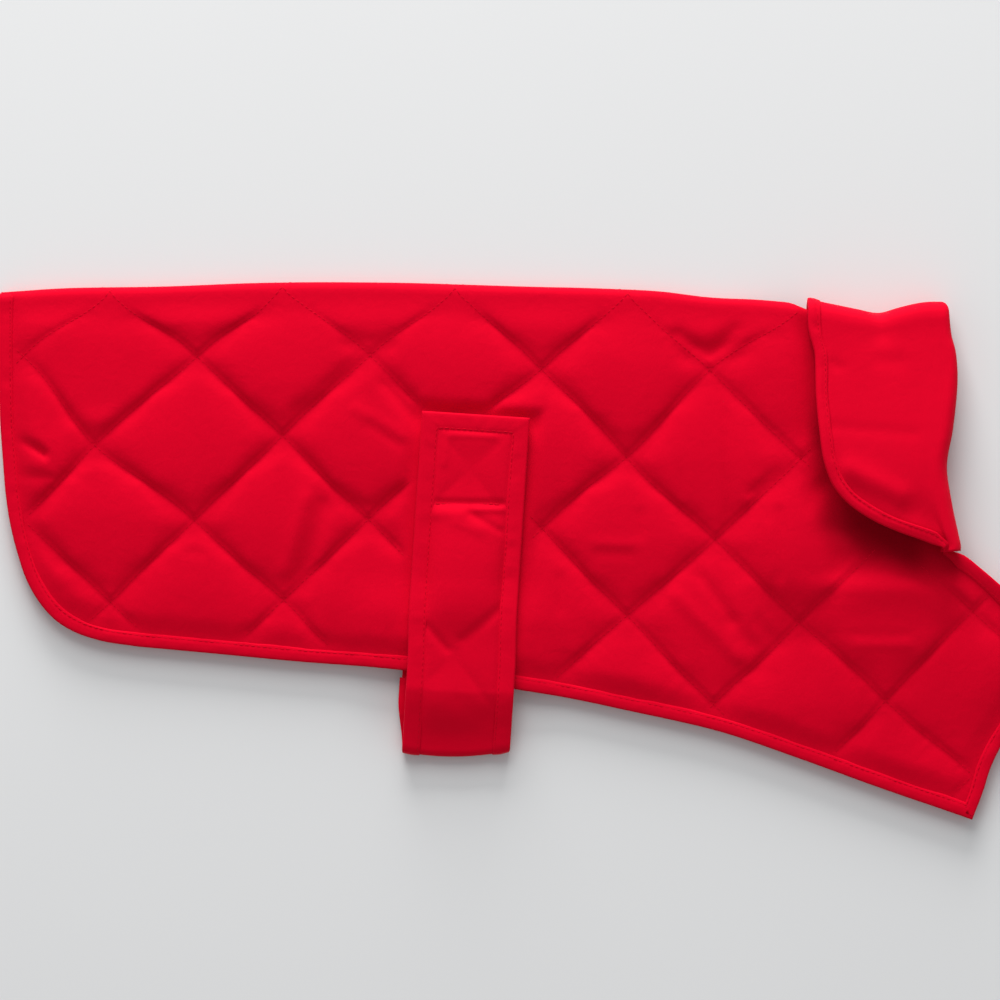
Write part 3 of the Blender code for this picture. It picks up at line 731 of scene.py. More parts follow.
# How far below its middle a diamond's cloth breaks, in shares of its half drop, and how full it is
QUILT_BREAKS = {
    # (column, row) in the lattice: (place, fullness)
    (-1, 1): (0.8, 0.35), (0, 0): (-0.12, 1.05), (0, 1): (0.42, 0.8), (0, 2): (0.3, 0.95),
    (0, 3): (-0.26, 1.0), (1, 0): (-0.05, 0.7), (1, 1): (0.1, 0.9), (1, 2): (0.25, 0.9),
    (1, 3): (0.2, 1.0), (2, 1): (0.0, 0.75), (2, 4): (-0.2, 1.05), (3, 3): (0.1, 0.85),
    (3, 4): (-0.05, 1.0), (3, 5): (-0.3, 1.0), (4, 5): (0.1, 1.0), (4, 6): (0.25, 1.0),
    (5, 6): (0.1, 0.9), (5, 7): (-0.2, 1.0), (6, 4): (0.3, 0.5),
}  # fmt: skip
QUILT_SEED = 5  # of the diamonds without a row of their own
BREAK_SPREAD = 0.2  # how far their breaks lie from their middles
FULLNESS_SPREAD = 0.08
BREAK_LEAN = 0.12
BREAK_SOFTNESS = 0.07
FULL_AT_BREAK = 1.15  # how full the cloth is at its break
FULL_LOSS = 0.4  # and how much less it gets toward the diamond's ends


def quilt_fill(x, c):
    """How full each diamond's cloth is, and its soft break between its upper and lower halves."""
    u, v = quilt_place(x, c)
    column, row = np.floor((u + v) / 2).astype(int), np.floor((u - v) / 2).astype(int)
    chance = np.random.default_rng(QUILT_SEED).uniform(-1, 1, (3, 64, 64))[:, column % 64, row % 64]
    down, along = v - (column - row), u - (column + row + 1)
    place, full = BREAK_SPREAD * chance[0], 1 + FULLNESS_SPREAD * chance[2]
    for (at_column, at_row), (break_place, fullness) in QUILT_BREAKS.items():
        here = (column == at_column) & (row == at_row)
        place, full = np.where(here, break_place, place), np.where(here, fullness, full)
    slope = np.sqrt((down - place - BREAK_LEAN * chance[1] * along) ** 2 + BREAK_SOFTNESS**2)
    return (FULL_AT_BREAK - FULL_LOSS * slope) * full


# Where the quilting has slipped on the near side: around a place, how far it has moved
QUILT_SLIPS = (
    # from_tail drop reach along down
    (56, 75, 34, -7.6, 3.4),
    (379, 40, 34, -1.6, -3.0),
    (287, 34, 30, 0, 2.4),
    (154, 0, 30, 4.5, 1.5),
    (332, 84, 30, -1.2, 3.0),
)
SLIP_FROM_TAPE = (0, 22)
SLIP_FROM_NECK = (0, 20)
SEAM_SWAY = 0.7  # how far its seams sway from straight lines, in millimetres
SWAYS = ((17, 31), (15, 27))  # the lengths of that along the coat and down it


def slipped(places):
    """Flat places of the near side, moved to where its quilting has slipped."""
    x, c = places.T
    drop = -laid_y(x, c)
    along, down = (
        SEAM_SWAY * np.sin(a / (length * MM) + 2 * np.sin(b / (drift * MM))) * MM
        for (a, b), (length, drift) in zip(((x, c), (c, x)), SWAYS)
    )
    for *place, by_x, by_drop in QUILT_SLIPS:
        share = near_place(x, drop, place)
        along, down = along + share * (by_x * MM), down + share * (by_drop * MM)
    edge, _ = bound_edge(6 * MM)
    free = ramp(from_line(places, edge) - HEM_TAPE_WIDTH, *SLIP_FROM_TAPE) * ramp(c, *DOWN_BACK)
    free = np.where(abs(c) < THROAT, free * ramp(read(NECK_SEAM, abs(c)) - x, *SLIP_FROM_NECK), free)
    return places + np.stack([along, down], axis=1) * free[:, None]


def under_strap(x, c):
    """1 where the strap presses the near half, fading past the strap's sides."""
    down, aside = strap_place(x, laid_y(x, c))
    outside = np.maximum(abs(aside) - STRAP_WIDTH / 2, -down)
    return np.where(c > ROLL_REACH, 1 - ramp(outside, *PAST_STRAP), 0)


def outside_fall(x, c, rows):
    """How far flat places are from under the collar's fall, with its edge read at the given rows."""
    edge = np.stack([read(FALL_EDGE, abs(rows)), rows], axis=1)
    outside = from_line(np.column_stack([x, c]), edge)
    return np.where((x > read(FALL_EDGE, abs(c))) & (abs(c) < THROAT), 0, outside)


def by_fall(outside, low, fade):
    """1 by the fall's edge, fading outside it: the fade's start and run, each with what the throat adds."""
    (start, more_start), (run, more_run) = fade
    return 1 - ramp(outside, start + more_start * low, run + more_run * low)


def under_collar(x, c):
    """1 where the collar's fall presses the cloth, fading past the fall's edge."""
    outside = outside_fall(x, c, np.linspace(-THROAT, THROAT, 60))
    return by_fall(outside, ramp(c, *BY_THROAT), PRESSED_FADE)


# How the near half sinks beside the collar's lower edge, in the plane it lies in
HOLLOW = ((437, 98, 447, 114, 7.0, -2.5), (447, 114, 466, 128, 7.0, -2.5), (466, 128, 490, 136, 7.0, -2.5))
HOLLOW_DEPTH = 2.5 * MM
HOLLOW_IN_FROM_EDGE = (5, 9)
CHEST_RISE = 3.2 * MM

CHEST_RAMPS = ((139, 14), (180, 60), (405, 50), (4, 24))  # its top, its end, its start and in from its edge

# Painted shade on the cloth beside the collar and in the hollow by the throat, where the cloth lies under the
# collar's edge: its ramps in millimetres, and by what share the colour is darkened
PAINTED_SHADE_LOW = (107, 22)
PAINTED_SHADE_END = (480, 14)
PAINTED_SHADE_END_SHARE = 0.68
PAINTED_SHADE_FADE = ((3, 8), (7, 9))
PAINTED_SHADE_BESIDE = (0.36, 0.42, 80, 14)  # share, how much more at its middle, the middle's place and its reach

PUFFING_SCALE = 10.0  # the simulation is steadier on a larger cloth
PUFFING_STEPS = 14
PUFFING_FROM = -20 * MM  # how much of the cut it takes, down from the spine
HELD_TO = -14 * MM
HELD_RISE = 0.012  # how near a stitch line the cloth is held
DOME_POWER = 0.75
PUFFED_POWER = 0.8
FULL_PERCENT = 97  # the puffed cloth is full where it lies higher than this share of it


def inflated(places, faces, start, sewn, slack):
    """Where the cloth lies once it has puffed up between its sewn places, by simulation."""
    piece = new_piece("puffing", np.column_stack([places, start]) * PUFFING_SCALE, faces)
    group = piece.vertex_groups.new(name="sewn")
    group.add([int(i) for i in np.flatnonzero(sewn)], 1.0, "REPLACE")
    cloth = piece.modifiers.new("puffing", "CLOTH")
    settings = cloth.settings
    settings.vertex_group_mass = "sewn"
    settings.quality = 3
    settings.mass = 0.02
    settings.tension_stiffness = settings.compression_stiffness = 12
    settings.shear_stiffness = 6
    settings.bending_stiffness = 0.4
    settings.use_pressure = True
    settings.uniform_pressure_force = 1.0
    settings.shrink_min = -slack
    settings.effector_weights.gravity = 0
    scene = bpy.context.scene
    for step in range(PUFFING_STEPS):
        scene.frame_set(step + 1)
    puffed = piece.evaluated_get(bpy.context.evaluated_depsgraph_get()).to_mesh()
    found = np.empty(len(places) * 3)
    puffed.vertices.foreach_get("co", found)
    scene.frame_set(1)
    mesh = piece.data
    bpy.data.objects.remove(piece)
    bpy.data.meshes.remove(mesh)
    return found.reshape(-1, 3) / PUFFING_SCALE


def shell_wall(places, distance, height):
    """Thickness of the quilted cloth at flat places, from how high it has puffed up."""
    x, c = places.T
    rise = quilt_rise(x, c)
    off_seams = ease(2 * rise**0.6)
    wall = height + crease_rise(x, c, CREASES) * off_seams
    belly = BELLY * np.sin(pi * np.clip((c - BELLY_FROM) / BELLY_RUN, 0, 1)) * (1 - ramp(x, *BELLY_END))
    wall += belly * off_seams
    down, _ = strap_place(x, laid_y(x, c))
    pressed = UNDER_STRAP_WALL - STRAP_END_PRESS * np.exp(-((down / STRAP_END_REACH) ** 2))
    wall += (pressed - wall) * under_strap(x, c)
    covered = under_collar(x, c)
    wall += (UNDER_COLLAR_WALL - THROAT_PRESS * ramp(c, *BY_THROAT) - wall) * covered
    far = 1 - ramp(c, *FAR_SIDE)
    wall += (FAR_WALL - FAR_GROOVE * (1 - rise) ** 8 - wall) * far
    near_back = (1 - ramp(c, *DOWN_BACK)) * (c > 0)
    wall += (BACK_WALL - wall) * near_back * (1 - far) * (1 - covered)
    over_back = 1 - ramp(abs(c), *PAST_SPINE)
    wall += (SPINE_WALL - wall) * over_back * (1 - covered)
    free = np.maximum(ramp(distance - HEM_TAPE_WIDTH, *IN_FROM_TAPE) ** 0.8, over_back)
    return np.maximum(STITCH_WALL + (wall - STITCH_WALL) * free, LEAST_WALL)


def tucked(x, c):
    """Painted shade: how far the near side's colour is darkened beside the collar and in the hollow under it,
    as a share.
    """
    outside = outside_fall(x, c, np.linspace(0, THROAT, 40))
    low = ramp(c, *PAINTED_SHADE_LOW)
    share, more, middle, reach = PAINTED_SHADE_BESIDE
    beside = share + more * np.exp(-(((c - middle * MM) / (reach * MM)) ** 2))
    share = beside + (1 - beside) * low * (1 - PAINTED_SHADE_END_SHARE * ramp(x, *PAINTED_SHADE_END))
    return np.where(c > 0, share * by_fall(outside, low, PAINTED_SHADE_FADE), 0)


def settled(x, c, distance):
    """How far the near half has sunk toward the far one beside the collar, and stands off it at the chest."""
    sunk = np.maximum(crease_rise(x, c, HOLLOW), -HOLLOW_DEPTH) * ramp(distance, *HOLLOW_IN_FROM_EDGE)
    drop = -laid_y(x, c)
    top, end, start, inset = CHEST_RAMPS
    chest = ramp(drop, *top) * (1 - ramp(drop, *end)) * ramp(x, *start) * ramp(distance, *inset)
    return sunk + np.where(c > 0, CHEST_RISE * chest, 0)


def padded_height(x, c, dome, puff):
    """Thickness of the padded cloth from how far it domes between its seams."""
    full = SHOULDER * quilt_shoulder(x, c) + (puff - SHOULDER) * dome * quilt_fill(x, c)
    bridge = SHOULDER + BRIDGE_SHARE * (puff - SHOULDER)
    return STITCH_WALL + full + (bridge - full) * seam_ease(x, c)


def puffed_cloth(places, faces, distance, sizes):
    """Heights over the inner face, and places, of the cloth between its stitched lines."""
    x, c = places.T
    height = padded_height(x, c, quilt_rise(x, c) ** DOME_POWER, sizes.puff)
    near = places[:, 1] > PUFFING_FROM
    used, near_faces = renumbered([face for face in faces if near[face].all()])
    x, c = places[used].T
    rise = quilt_rise(x, c)
    sewn = (rise < HELD_RISE) | (distance[used] < HEM_TAPE_WIDTH + 1 * MM) | (c < HELD_TO)
    sewn |= (x > read(NECK_SEAM, abs(c)) - 2 * MM) & (abs(c) < THROAT)
    start = np.where(sewn, STITCH_WALL, STITCH_WALL + 0.5 * sizes.puff * rise**0.6)
    found = inflated(places[used], near_faces, start, sewn, sizes.slack)
    lift = found[:, 2] - STITCH_WALL
    share = np.maximum(lift / np.percentile(lift, FULL_PERCENT), 0) ** PUFFED_POWER
    height[used] = padded_height(x, c, (rise**DOME_POWER + share) / 2, sizes.puff)
    moved = places.copy()
    moved[used] = found[:, :2]
    return height, slipped(moved)


def make_shell(sizes):
    """The quilted cloth, folded on the spine."""
    edge, outline = cut_outline(3 * MM)
    places, faces = quilt_sheet(outline, sizes.quilt_cells)
    distance = from_line(places, edge)
    height, moved = puffed_cloth(places, faces, distance, sizes)
    base = settled(*places.T, distance)
    outer = laid(*moved.T, base + shell_wall(places, distance, height))
    piece = closed_sheet("quilted_shell", places, faces, outer, laid(*places.T, base))
    # Painted shade: the mask beside the collar, kept on each point for the material to darken the colour with
    deep = piece.data.attributes.new("tucked", "FLOAT", "POINT")
    deep.data.foreach_set("value", np.tile(tucked(*places.T), 2).astype(np.float32))
    finish(piece, "body", shell_material())


# ---------------------------------------------------------------- tapes and stitching


def wander(along, length, seed):
    """A smooth line between -1 and 1 that wanders over the given length."""
    along = np.asarray(along) / length
    knots = np.random.default_rng(seed).uniform(-1, 1, int(along.max()) + 3)
    i = along.astype(int)
    t = ease(along - i)
    return knots[i] * (1 - t) + knots[i + 1] * t


def wavering(along, waves, seed):
    """The sum of lines that wander, each by its (size, length) in millimetres."""
    return sum(size * MM * wander(along, length * MM, seed + k) for k, (size, length) in enumerate(waves))


# A tape's upper half: a share of its width in from the edge, then how far past that in millimetres, and its
# height as a share of how far a tape stands out
TAPE_PROFILE = (
    # share in height
    (1.0, 0.0, 0.28),
    (1.0, -0.5, 0.48),
    (1.0, -0.9, 0.62),
    (1.0, -1.3, 0.61),
    (1.0, -1.8, 0.70),
    (1.0, -2.8, 0.82),
    (0.45, 0.0, 0.85),
    (0.2, 0.0, 0.77),
    (0.0, -0.2, 0.66),
    (0.0, -0.9, 0.42),
)
TAPE_SEAM = 1.3 * MM  # a tape's stitching lies this far from its inner side
TAPE_SEAM_HEIGHT = 0.64 * TAPE_REACH
# How a tape wavers in width and puckers in height: the size and length of each wave, in millimetres
TAPE_DRIFTS = ((0.35, 23), (0.2, 7))
TAPE_PUCKERS = ((0.16, 5), (0.1, 2.6))


def tape_section(width, wall, full):
    """A binding's folded section: places in from the cloth's edge, and out from its inner face."""
    share, step, height = np.array(TAPE_PROFILE).T
    height = height * full
    inset = share * width + step * MM
    inset = np.concatenate([inset, [-TAPE_REACH], inset[::-1]])
    under = np.minimum(height[::-1], 1)
    out = np.concatenate([wall + height * TAPE_REACH, [wall / 2], -under * TAPE_REACH])
    flush = np.full(len(share), SEAM_GAP)
    inner_out = np.concatenate([wall + flush, [wall / 2], -flush])
    return np.concatenate([inset, np.maximum(inset, -SEAM_GAP)[::-1]]), np.concatenate([out, inner_out[::-1]])


def tape(name, line, steps, width, wall, place, seed, full=1.0):
    """A binding folded round a line of flat places; place() lays flat places and heights."""
    inset, out = tape_section(width, wall, full)
    along = lengths(line)
    drift = wavering(along, TAPE_DRIFTS, seed)
    share = np.clip(inset / width, 0, 1)
    shifted = inset + drift[:, None] * share
    pucker = wavering(along, TAPE_PUCKERS, seed + 2)
    outer = np.where(out > wall / 2, 1, -1) * (abs(out - wall / 2) > wall / 2 + SEAM_GAP * 1.01)
    lifted = out + pucker[:, None] * outer * share * (1 - share) * 4
    flat = line[:, None] + shifted[..., None] * steps[:, None]
    rings = place(flat[..., 0], flat[..., 1], lifted)
    across = lengths(np.stack([inset, out], axis=1))
    cut = np.stack(np.broadcast_arrays(along[:, None], across), axis=-1)
    return closed_loft(name, rings, cut)


def narrowed(line, steps, share, reach):
    """A tape's inward steps, shorter toward its ends, where it is turned in."""
    along = lengths(line)
    in_from_end = np.minimum(along, along[-1] - along)
    return steps * (share + (1 - share) * ease(in_from_end / reach))[:, None]


# A stitch's sections: the share of its length, and its size and rise in thread radii
STITCH_SECTIONS = (
    (0.0, 0.45, -1.1),
    (0.16, 0.95, 0.1),
    (0.5, 1.1, 0.45),
    (0.84, 0.95, 0.1),
    (1.0, 0.45, -1.1),
)
STITCH_SIDES = 6
STITCH_FIRST = 0.08  # where the first one starts, as a share of the pitch
STITCH_SHARE = 0.84  # of the pitch that shows


def stitches(name, starts, ends, up, radius):
    """Short stitches between points, each sinking into the cloth at its ends."""
    turn = (np.arange(STITCH_SIDES) * 2 * pi / STITCH_SIDES)[:, None]
    run = ends - starts
    ahead = run / np.linalg.norm(run, axis=1, keepdims=True)
    aside = np.cross(ahead, up)
    aside /= np.linalg.norm(aside, axis=1, keepdims=True)
    up = np.cross(aside, ahead)
    spokes = np.cos(turn) * aside[:, None] + np.sin(turn) * up[:, None]
    rings = []
    for share, size, rise in STITCH_SECTIONS:
        middle = starts + run * share + up * radius * rise
        rings.append(middle[:, None] + radius * size * spokes)
    points = np.stack(rings, axis=1)
    shape = points.shape[:3]
    index = np.arange(np.prod(shape)).reshape(shape)
    caps = [*index[:, 0, ::-1], *index[:, -1]]
    return closed_piece(name, points.reshape(-1, 3), [*grid_faces(shape, closed=True), *caps])


def stitch_row(line, pitch, place):
    """Starts, ends and upward steps of the stitches along a line of (x, c, n) places."""
    along = lengths(line)
    first = (np.arange(max(1, int(along[-1] / pitch))) + STITCH_FIRST) * pitch
    starts, ends = (
        np.stack([np.interp(at, along, line[:, k]) for k in range(3)], axis=1)
        for at in (first, first + STITCH_SHARE * pitch)
    )
    raised = (starts + ends) / 2 + (0, 0, 1 * MM)
    starts, ends, raised = (place(*some.T) for some in (starts, ends, raised))
    return starts, ends, raised - (starts + ends) / 2


def sew(name, rows, place, sizes):
    """One piece of thread for rows of stitching, each a line of (x, c, n) places."""
    made = [stitch_row(np.asarray(row), sizes.stitch, place) for row in rows if len(row) > 1]
    piece = stitches(name, *(np.concatenate(parts) for parts in zip(*made)), sizes.thread)
    finish(piece, None, thread_material())


def bind(name, node, line, steps, width, wall, place, seed, flat_width, rests_on, full=1.0):
    """Folds a tape round an edge, and gives the line of its stitching."""
    piece = tape(name, line, steps, width, wall, place, seed, full)
    finish(piece, node, tape_material())
    row = line + (width - TAPE_SEAM) * steps
    return np.column_stack([row, np.full(len(row), wall + full * TAPE_SEAM_HEIGHT)])


def quilt_lines(outline):
    """The quilting's stitch lines over the cut, as closely spaced places."""
    u, v = quilt_place(*np.array([outline.min(axis=0), outline.max(axis=0)]).T)
    across = np.linspace(*v, round((v[1] - v[0]) * QUILT_HALF_DROP / MM))
    lines = []
    for lean in (1, -1):
        sums = [(a + lean * b) / 2 for a in u for b in v]
        for k in range(int(np.floor(min(sums))), int(np.ceil(max(sums))) + 1):
            x = QUILT_CROSSING[0] + (2 * k - lean * across) * QUILT_HALF_LENGTH
            lines.append(np.stack([x, QUILT_CROSSING[1] + across * QUILT_HALF_DROP], axis=1))
    return lines


def runs(line, wanted):
    """The stretches of a line where wanted holds."""
    edges = np.flatnonzero(np.diff(np.concatenate([[0], wanted.astype(int), [0]])))
    return [line[a:b] for a, b in edges.reshape(-1, 2) if b - a > 3]


def make_quilt_stitching(sizes):
    """The thread along the quilting's lines, on the near side and on the underside."""
    edge, outline = cut_outline(6 * MM)
    rows = []
    for line in quilt_lines(outline):
        x, c = line.T
        clear = inside(line, outline)
        clear[clear] = from_line(line[clear], edge) > HEM_TAPE_WIDTH + 1 * MM
        clear &= (under_collar(x, c) < 0.7) & (under_strap(x, c) < 0.99)
        for run in runs(line, clear):
            distance = from_line(run, edge)
            height = padded_height(*run.T, np.zeros(len(run)), sizes.puff)
            wall = shell_wall(run, distance, height) + settled(*run.T, distance)
            rows.append(np.column_stack([slipped(run), wall]))
    sew("quilt_stitching", rows, laid, sizes)


HEM_BACK_RISE = 1.4 * MM  # how much fuller the hem's tape is over the spine
HEM_BACK = (0, 8)


def on_hem(x, c, n):
    """Lays a place on the hem's binding, which fills out over the back and lies flat underneath."""
    n = np.where(n > STITCH_WALL, n + HEM_BACK_RISE * (1 - ramp(abs(c), *HEM_BACK)), n)
    return laid(x, c, np.where(c < -FOLD_RUN, np.minimum(n, FAR_WALL), n))


def make_hem_binding(sizes):
    """The tape folded round the coat's cut edge, and its stitching."""
    line, steps = bound_edge(2.2 * MM)
    steps = narrowed(line, steps, 0.35, 12 * MM)
    held = ("hem_tape", "hem_binding", line, steps, HEM_TAPE_WIDTH, STITCH_WALL, on_hem, 3)
    row = bind(*held, flat_width=0.0185, rests_on="quilted_shell")
    sew("hem_stitching", [row], on_hem, sizes)


# ---------------------------------------------------------------- the collar

# Soft troughs and ridges of the near fall, in the plane it lies in
FALL_CREASES = (
    (441, 33, 443, 34.5, 3.2, -0.5),
    (466, 31, 474, 31.5, 5.0, -0.5),
    (438, 66, 482, 69.5, 3.6, -0.35),
    (449, 88, 475, 101, 5.5, 1.2),
    (450, 98, 476, 112, 4.5, -0.6),
    (484, 112, 502, 124, 9.0, -1.2),
    (464, 2, 466, 16, 6.0, -1.2),
    (500, 80, 494, 92, 5.0, -0.7),
)


def fall_middle(c):
    """Height of the fall's middle over the coat's inner face."""
    drop = -laid_y(FALL_RISE_AT, c)
    rise = FALL_RISE * ease((drop - FALL_RISE_FROM) / (FALL_RISE_TO - FALL_RISE_FROM))
    return FALL_HEIGHT + COLLAR_WALL / 2 + np.where(c > 0, rise, 0)


FALL_CURL = 1.4 * MM  # how far the near fall turns down at its free edge by the throat
FALL_CURL_IN = (0, 16)
FALL_CURL_DOWN = (78, 30)


def fall_curl(x, c):
    """How far the near fall turns down toward its free edge by the throat."""
    return FALL_CURL * (1 - ramp(x - read(FALL_EDGE, abs(c)), *FALL_CURL_IN)) * ramp(c, *FALL_CURL_DOWN)


def collar_rings():
    """The collar's folded section at each of its rows, as flat places in a ring."""
    end = THROAT + COLLAR_PAST_THROAT
    rows = np.linspace(-end, end, 200)[:, None]
    half = COLLAR_WALL / 2
    fall_n = fall_middle(rows)
    radius = (fall_n - half) / 2
    seam = read(NECK_SEAM, abs(rows)) + SEAM_GAP
    centre = read(COLLAR_ROLL, abs(rows)) - radius - half
    free = read(FALL_EDGE, abs(rows))
    t = np.linspace(0, 1, 8)
    turn = np.linspace(0, pi, 13)[1:-1]
    s = np.linspace(0, 1, 42)
    lines = []
    for sign in (1, -1):
        stand = (seam + (centre - seam) * t, half - sign * half + 0 * rows + 0 * t)
        bend = radius + sign * half
        roll = (centre + bend * np.sin(turn), half + radius - bend * np.cos(turn))
        x = centre + (free - centre) * s
        fold = crease_rise(x, rows + 0 * s, FALL_CREASES) * ease(s * 8) - fall_curl(x, rows)
        fall = (x, fall_n + sign * half + fold)
        lines.append([np.concatenate(parts, axis=1) for parts in zip(stand, roll, fall)])
    (outer_x, outer_n), (inner_x, inner_n) = lines
    x = np.concatenate([outer_x, inner_x[:, ::-1]], axis=1)
    n = np.concatenate([outer_n, inner_n[:, ::-1]], axis=1)
    return x, rows + 0 * x, n


def on_fall(x, c, n):
    """Lays a place on the fall's free edge, at a height over the fall's inner face."""
    return laid(x, c, fall_middle(c) - COLLAR_WALL / 2 - fall_curl(x, c) + n)


def make_collar(sizes):
    """The fold-over collar, the tape round its free edge, and their stitching."""
    x, c, n = collar_rings()
    across = lengths(np.stack([x[len(x) // 2], n[len(x) // 2]], axis=1))
    cut = np.stack(np.broadcast_arrays(c, across), axis=-1)
    piece = closed_loft("folded_collar", laid(x, c, n), cut)
    finish(piece, "collar", plain_material())
    end = THROAT + FALL_TAPE_PAST_THROAT
    rows = np.linspace(-end, end, 200)
    line = np.stack([read(FALL_EDGE, abs(rows)), rows], axis=1)
    steps = narrowed(line, -left_steps(line), 0.45, 9 * MM)
    held = ("collar_tape", "collar_binding", line, steps, COLLAR_TAPE_WIDTH, COLLAR_WALL, on_fall, 11)
    row = bind(*held, flat_width=0.018, rests_on="folded_collar")
    sew("collar_stitching", [row], on_fall, sizes)


# ---------------------------------------------------------------- the strap


def strap_path():
    """The strap's inner face seen from its side, as (down, height): its top, its fold, its sewn end."""
    half = STRAP_WIDTH / 2
    hems = hem_down(-half), hem_down(half)
    leaves_coat, enters_hem = max(hems) + STRAP_LEAVES_COAT, min(hems) + STRAP_ENTERS_HEM
    centre = STRAP_REACH - STRAP_FOLD_RADIUS - STITCH_WALL - TAPE_REACH
    low = STITCH_WALL + TAPE_REACH
    sewn = FAR_WALL + TAPE_REACH + SEAM_GAP + STITCH_WALL
    path = []
    for down in np.linspace(0, leaves_coat, 40):
        places = [strap_plan(down, aside) for aside in (-half, 0, half)]
        coat = max(float(near_inner(x, flat_c(x, y))) for x, y in places)
        path.append((down, coat + STRAP_STAND))
    start, end = path[-1][1], low + 2 * STRAP_FOLD_RADIUS
    for t in np.linspace(0, 1, 16)[1:]:
        sunk = 0.35 * ease(t) + 0.65 * t
        path.append((leaves_coat + (centre - leaves_coat) * t, start + (end - start) * sunk))
    for turn in np.linspace(0, pi, 13)[1:]:
        path.append((centre + STRAP_FOLD_RADIUS * np.sin(turn), low + STRAP_FOLD_RADIUS * (1 + np.cos(turn))))
    for t in np.linspace(0, 1, 10)[1:]:
        path.append((centre + (enters_hem - centre) * t, low + (sewn - low) * ease(t * 1.25)))
    path.append((min(hems) - STRAP_LAP, sewn))
    return np.array(path)


class StrapLie:
    """Places flat strap points: a along it from its top, b across it, n outwards."""

    def __init__(self):
        """Finds the strap's path, how far along it each point is, and which way is outwards."""
        self.path = strap_path()
        self.along = lengths(self.path)
        self.turn = self.path[:, 0].argmax()
        self.fold = self.along[self.turn]
        run = np.diff(self.path, axis=0)
        run /= np.linalg.norm(run, axis=1)[:, None]
        run = np.concatenate([run[:1], run[:-1] + run[1:], run[-1:]])
        self.normal = np.stack([-run[:, 1], run[:, 0]], axis=1)

    def point(self, b, a, n):
        """Points in the model's frame; before its top, the strap runs on straight."""
        beyond = np.minimum(a, 0)
        a = np.maximum(a, 0)
        down, height = (np.interp(a, self.along, self.path[:, k]) for k in (0, 1))
        lean, rise = (np.interp(a, self.along, self.normal[:, k]) for k in (0, 1))
        size = np.hypot(lean, rise)
        skew = STRAP_SKEW * ease((a - self.fold) / STRAP_SKEW_RUN)
        across = b / (STRAP_WIDTH / 2)
        bowed = STRAP_FOLD_BOW * (1 - across**2) - STRAP_FOLD_SETBACK - STRAP_FOLD_SLANT * across
        down = down + bowed * ramp(down, *STRAP_BOWS)
        aside = b - skew + STRAP_SWAY * ramp(down, *STRAP_SWAYS)
        x, y = strap_plan(down + beyond + n * lean / size, aside)
        z = np.maximum(height + n * rise / size, 0)
        return np.stack([x - TAIL_X, y + COLLAR_TOP_Y, z], axis=-1)


# Soft troughs and ridges of the strap: each runs from one (across, along) place to another
STRAP_CREASES = (
    (-17, 46.6, 17, 44.9, 1.8, -0.9),
    (3, 48.8, 17, 48.0, 2.0, 0.7),
    (-18, 52.5, -4, 51.5, 3.4, 0.8),
    (1, 51.5, 17, 59.5, 2.0, -0.6),
    (-6, 56, 6, 60, 3.4, 0.4),
    (-25, 78, -23, 99, 3.2, -0.5),
    (-14, 12, -15, 26, 1.6, 0.35),
    (-12, 10.5, 10, 10.0, 1.6, 0.35),
    (-19, 111.5, -8, 123.5, 2.2, -0.7),
    (20, 100, 0, 118, 2.4, -0.7),
    (0, 150, 14, 158, 6.0, -0.5),
)


# How the strap's cloth rises in from its tape
STRAP_UNDER_TAPE = 0.9 * MM
STRAP_PUFF_REACH = 4.5 * MM
STRAP_EDGE_RISE = 0.6 * MM
STRAP_EDGE_REACH = 1.2 * MM
STRAP_LEAST_WALL = 0.8 * MM
# Its (start, run) pairs: where its middle swells, where that ends, up from its fold, and in from its tape
STRAP_SWELLS = ((45, 14), (50, 42))
STRAP_SWELL_END = (90, 34)
STRAP_UP_FROM_FOLD = (10, 20)
STRAP_IN_FROM_TAPE = (-4, 3)


def strap_wall(b, a, lie):
    """Thickness of the strap, quilted as far as a little above its fold."""
    middle = STRAP_CROSSING[0] + STRAP_CROSSING_DRIFT * (a - STRAP_CROSSING[1])
    rise = domed((b - middle) / STRAP_HALF_LENGTH, (a - STRAP_CROSSING[1]) / STRAP_HALF_DROP) ** 0.8
    edge_distance = np.minimum(STRAP_CUT_HALF - abs(b), a)
    in_from_tape = np.maximum(edge_distance - STRAP_TAPE_WIDTH + STRAP_UNDER_TAPE, 0)
    off_edge = 1 - np.exp(-in_from_tape / STRAP_PUFF_REACH)
    swell = sum(ramp(a, *place) for place in STRAP_SWELLS) / 2 * (1 - ramp(a, *STRAP_SWELL_END))
    edge = STRAP_EDGE_RISE * (1 - np.exp(-in_from_tape / STRAP_EDGE_REACH))
    padding = (edge + STRAP_PUFF * (rise + swell) * off_edge) * ramp(lie.fold - a, *STRAP_UP_FROM_FOLD)
    creases = line_rise(b, a, STRAP_CREASES) * ramp(edge_distance - STRAP_TAPE_WIDTH, *STRAP_IN_FROM_TAPE)
    return np.maximum(STITCH_WALL + padding + creases, STRAP_LEAST_WALL)


def strap_edge(lie):
    """The strap's bound edge, up one side, over its top and down the other, and its inward steps."""
    half = STRAP_CUT_HALF
    ends_at = min(hem_down(-half), hem_down(half)) + STRAP_TAPE_PAST_HEM
    last = np.interp(-ends_at, -lie.path[lie.turn :, 0], lie.along[lie.turn :])
    sides = np.arange(last, 1 * MM, -1.8 * MM)
    tops = np.linspace(-half, half, 33)
    line = [(-half, at) for at in sides] + [(at, 0) for at in tops] + [(half, at) for at in sides[::-1]]
    toward_end, toward_middle = (np.exp(-at / (2 * STRAP_TAPE_WIDTH)) for at in (sides, half - abs(tops)))
    left = np.stack([np.ones(len(sides)), toward_end], axis=1)
    top = np.stack([-np.sign(tops) * toward_middle, np.ones(len(tops))], axis=1)
    return np.array(line), np.concatenate([left, top, left[::-1] * (-1, 1)])


# The seam across the strap: half its length, its place, its lean and its height, in millimetres
STRAP_SEAM = (18.5, 46, -0.063, 2.0)


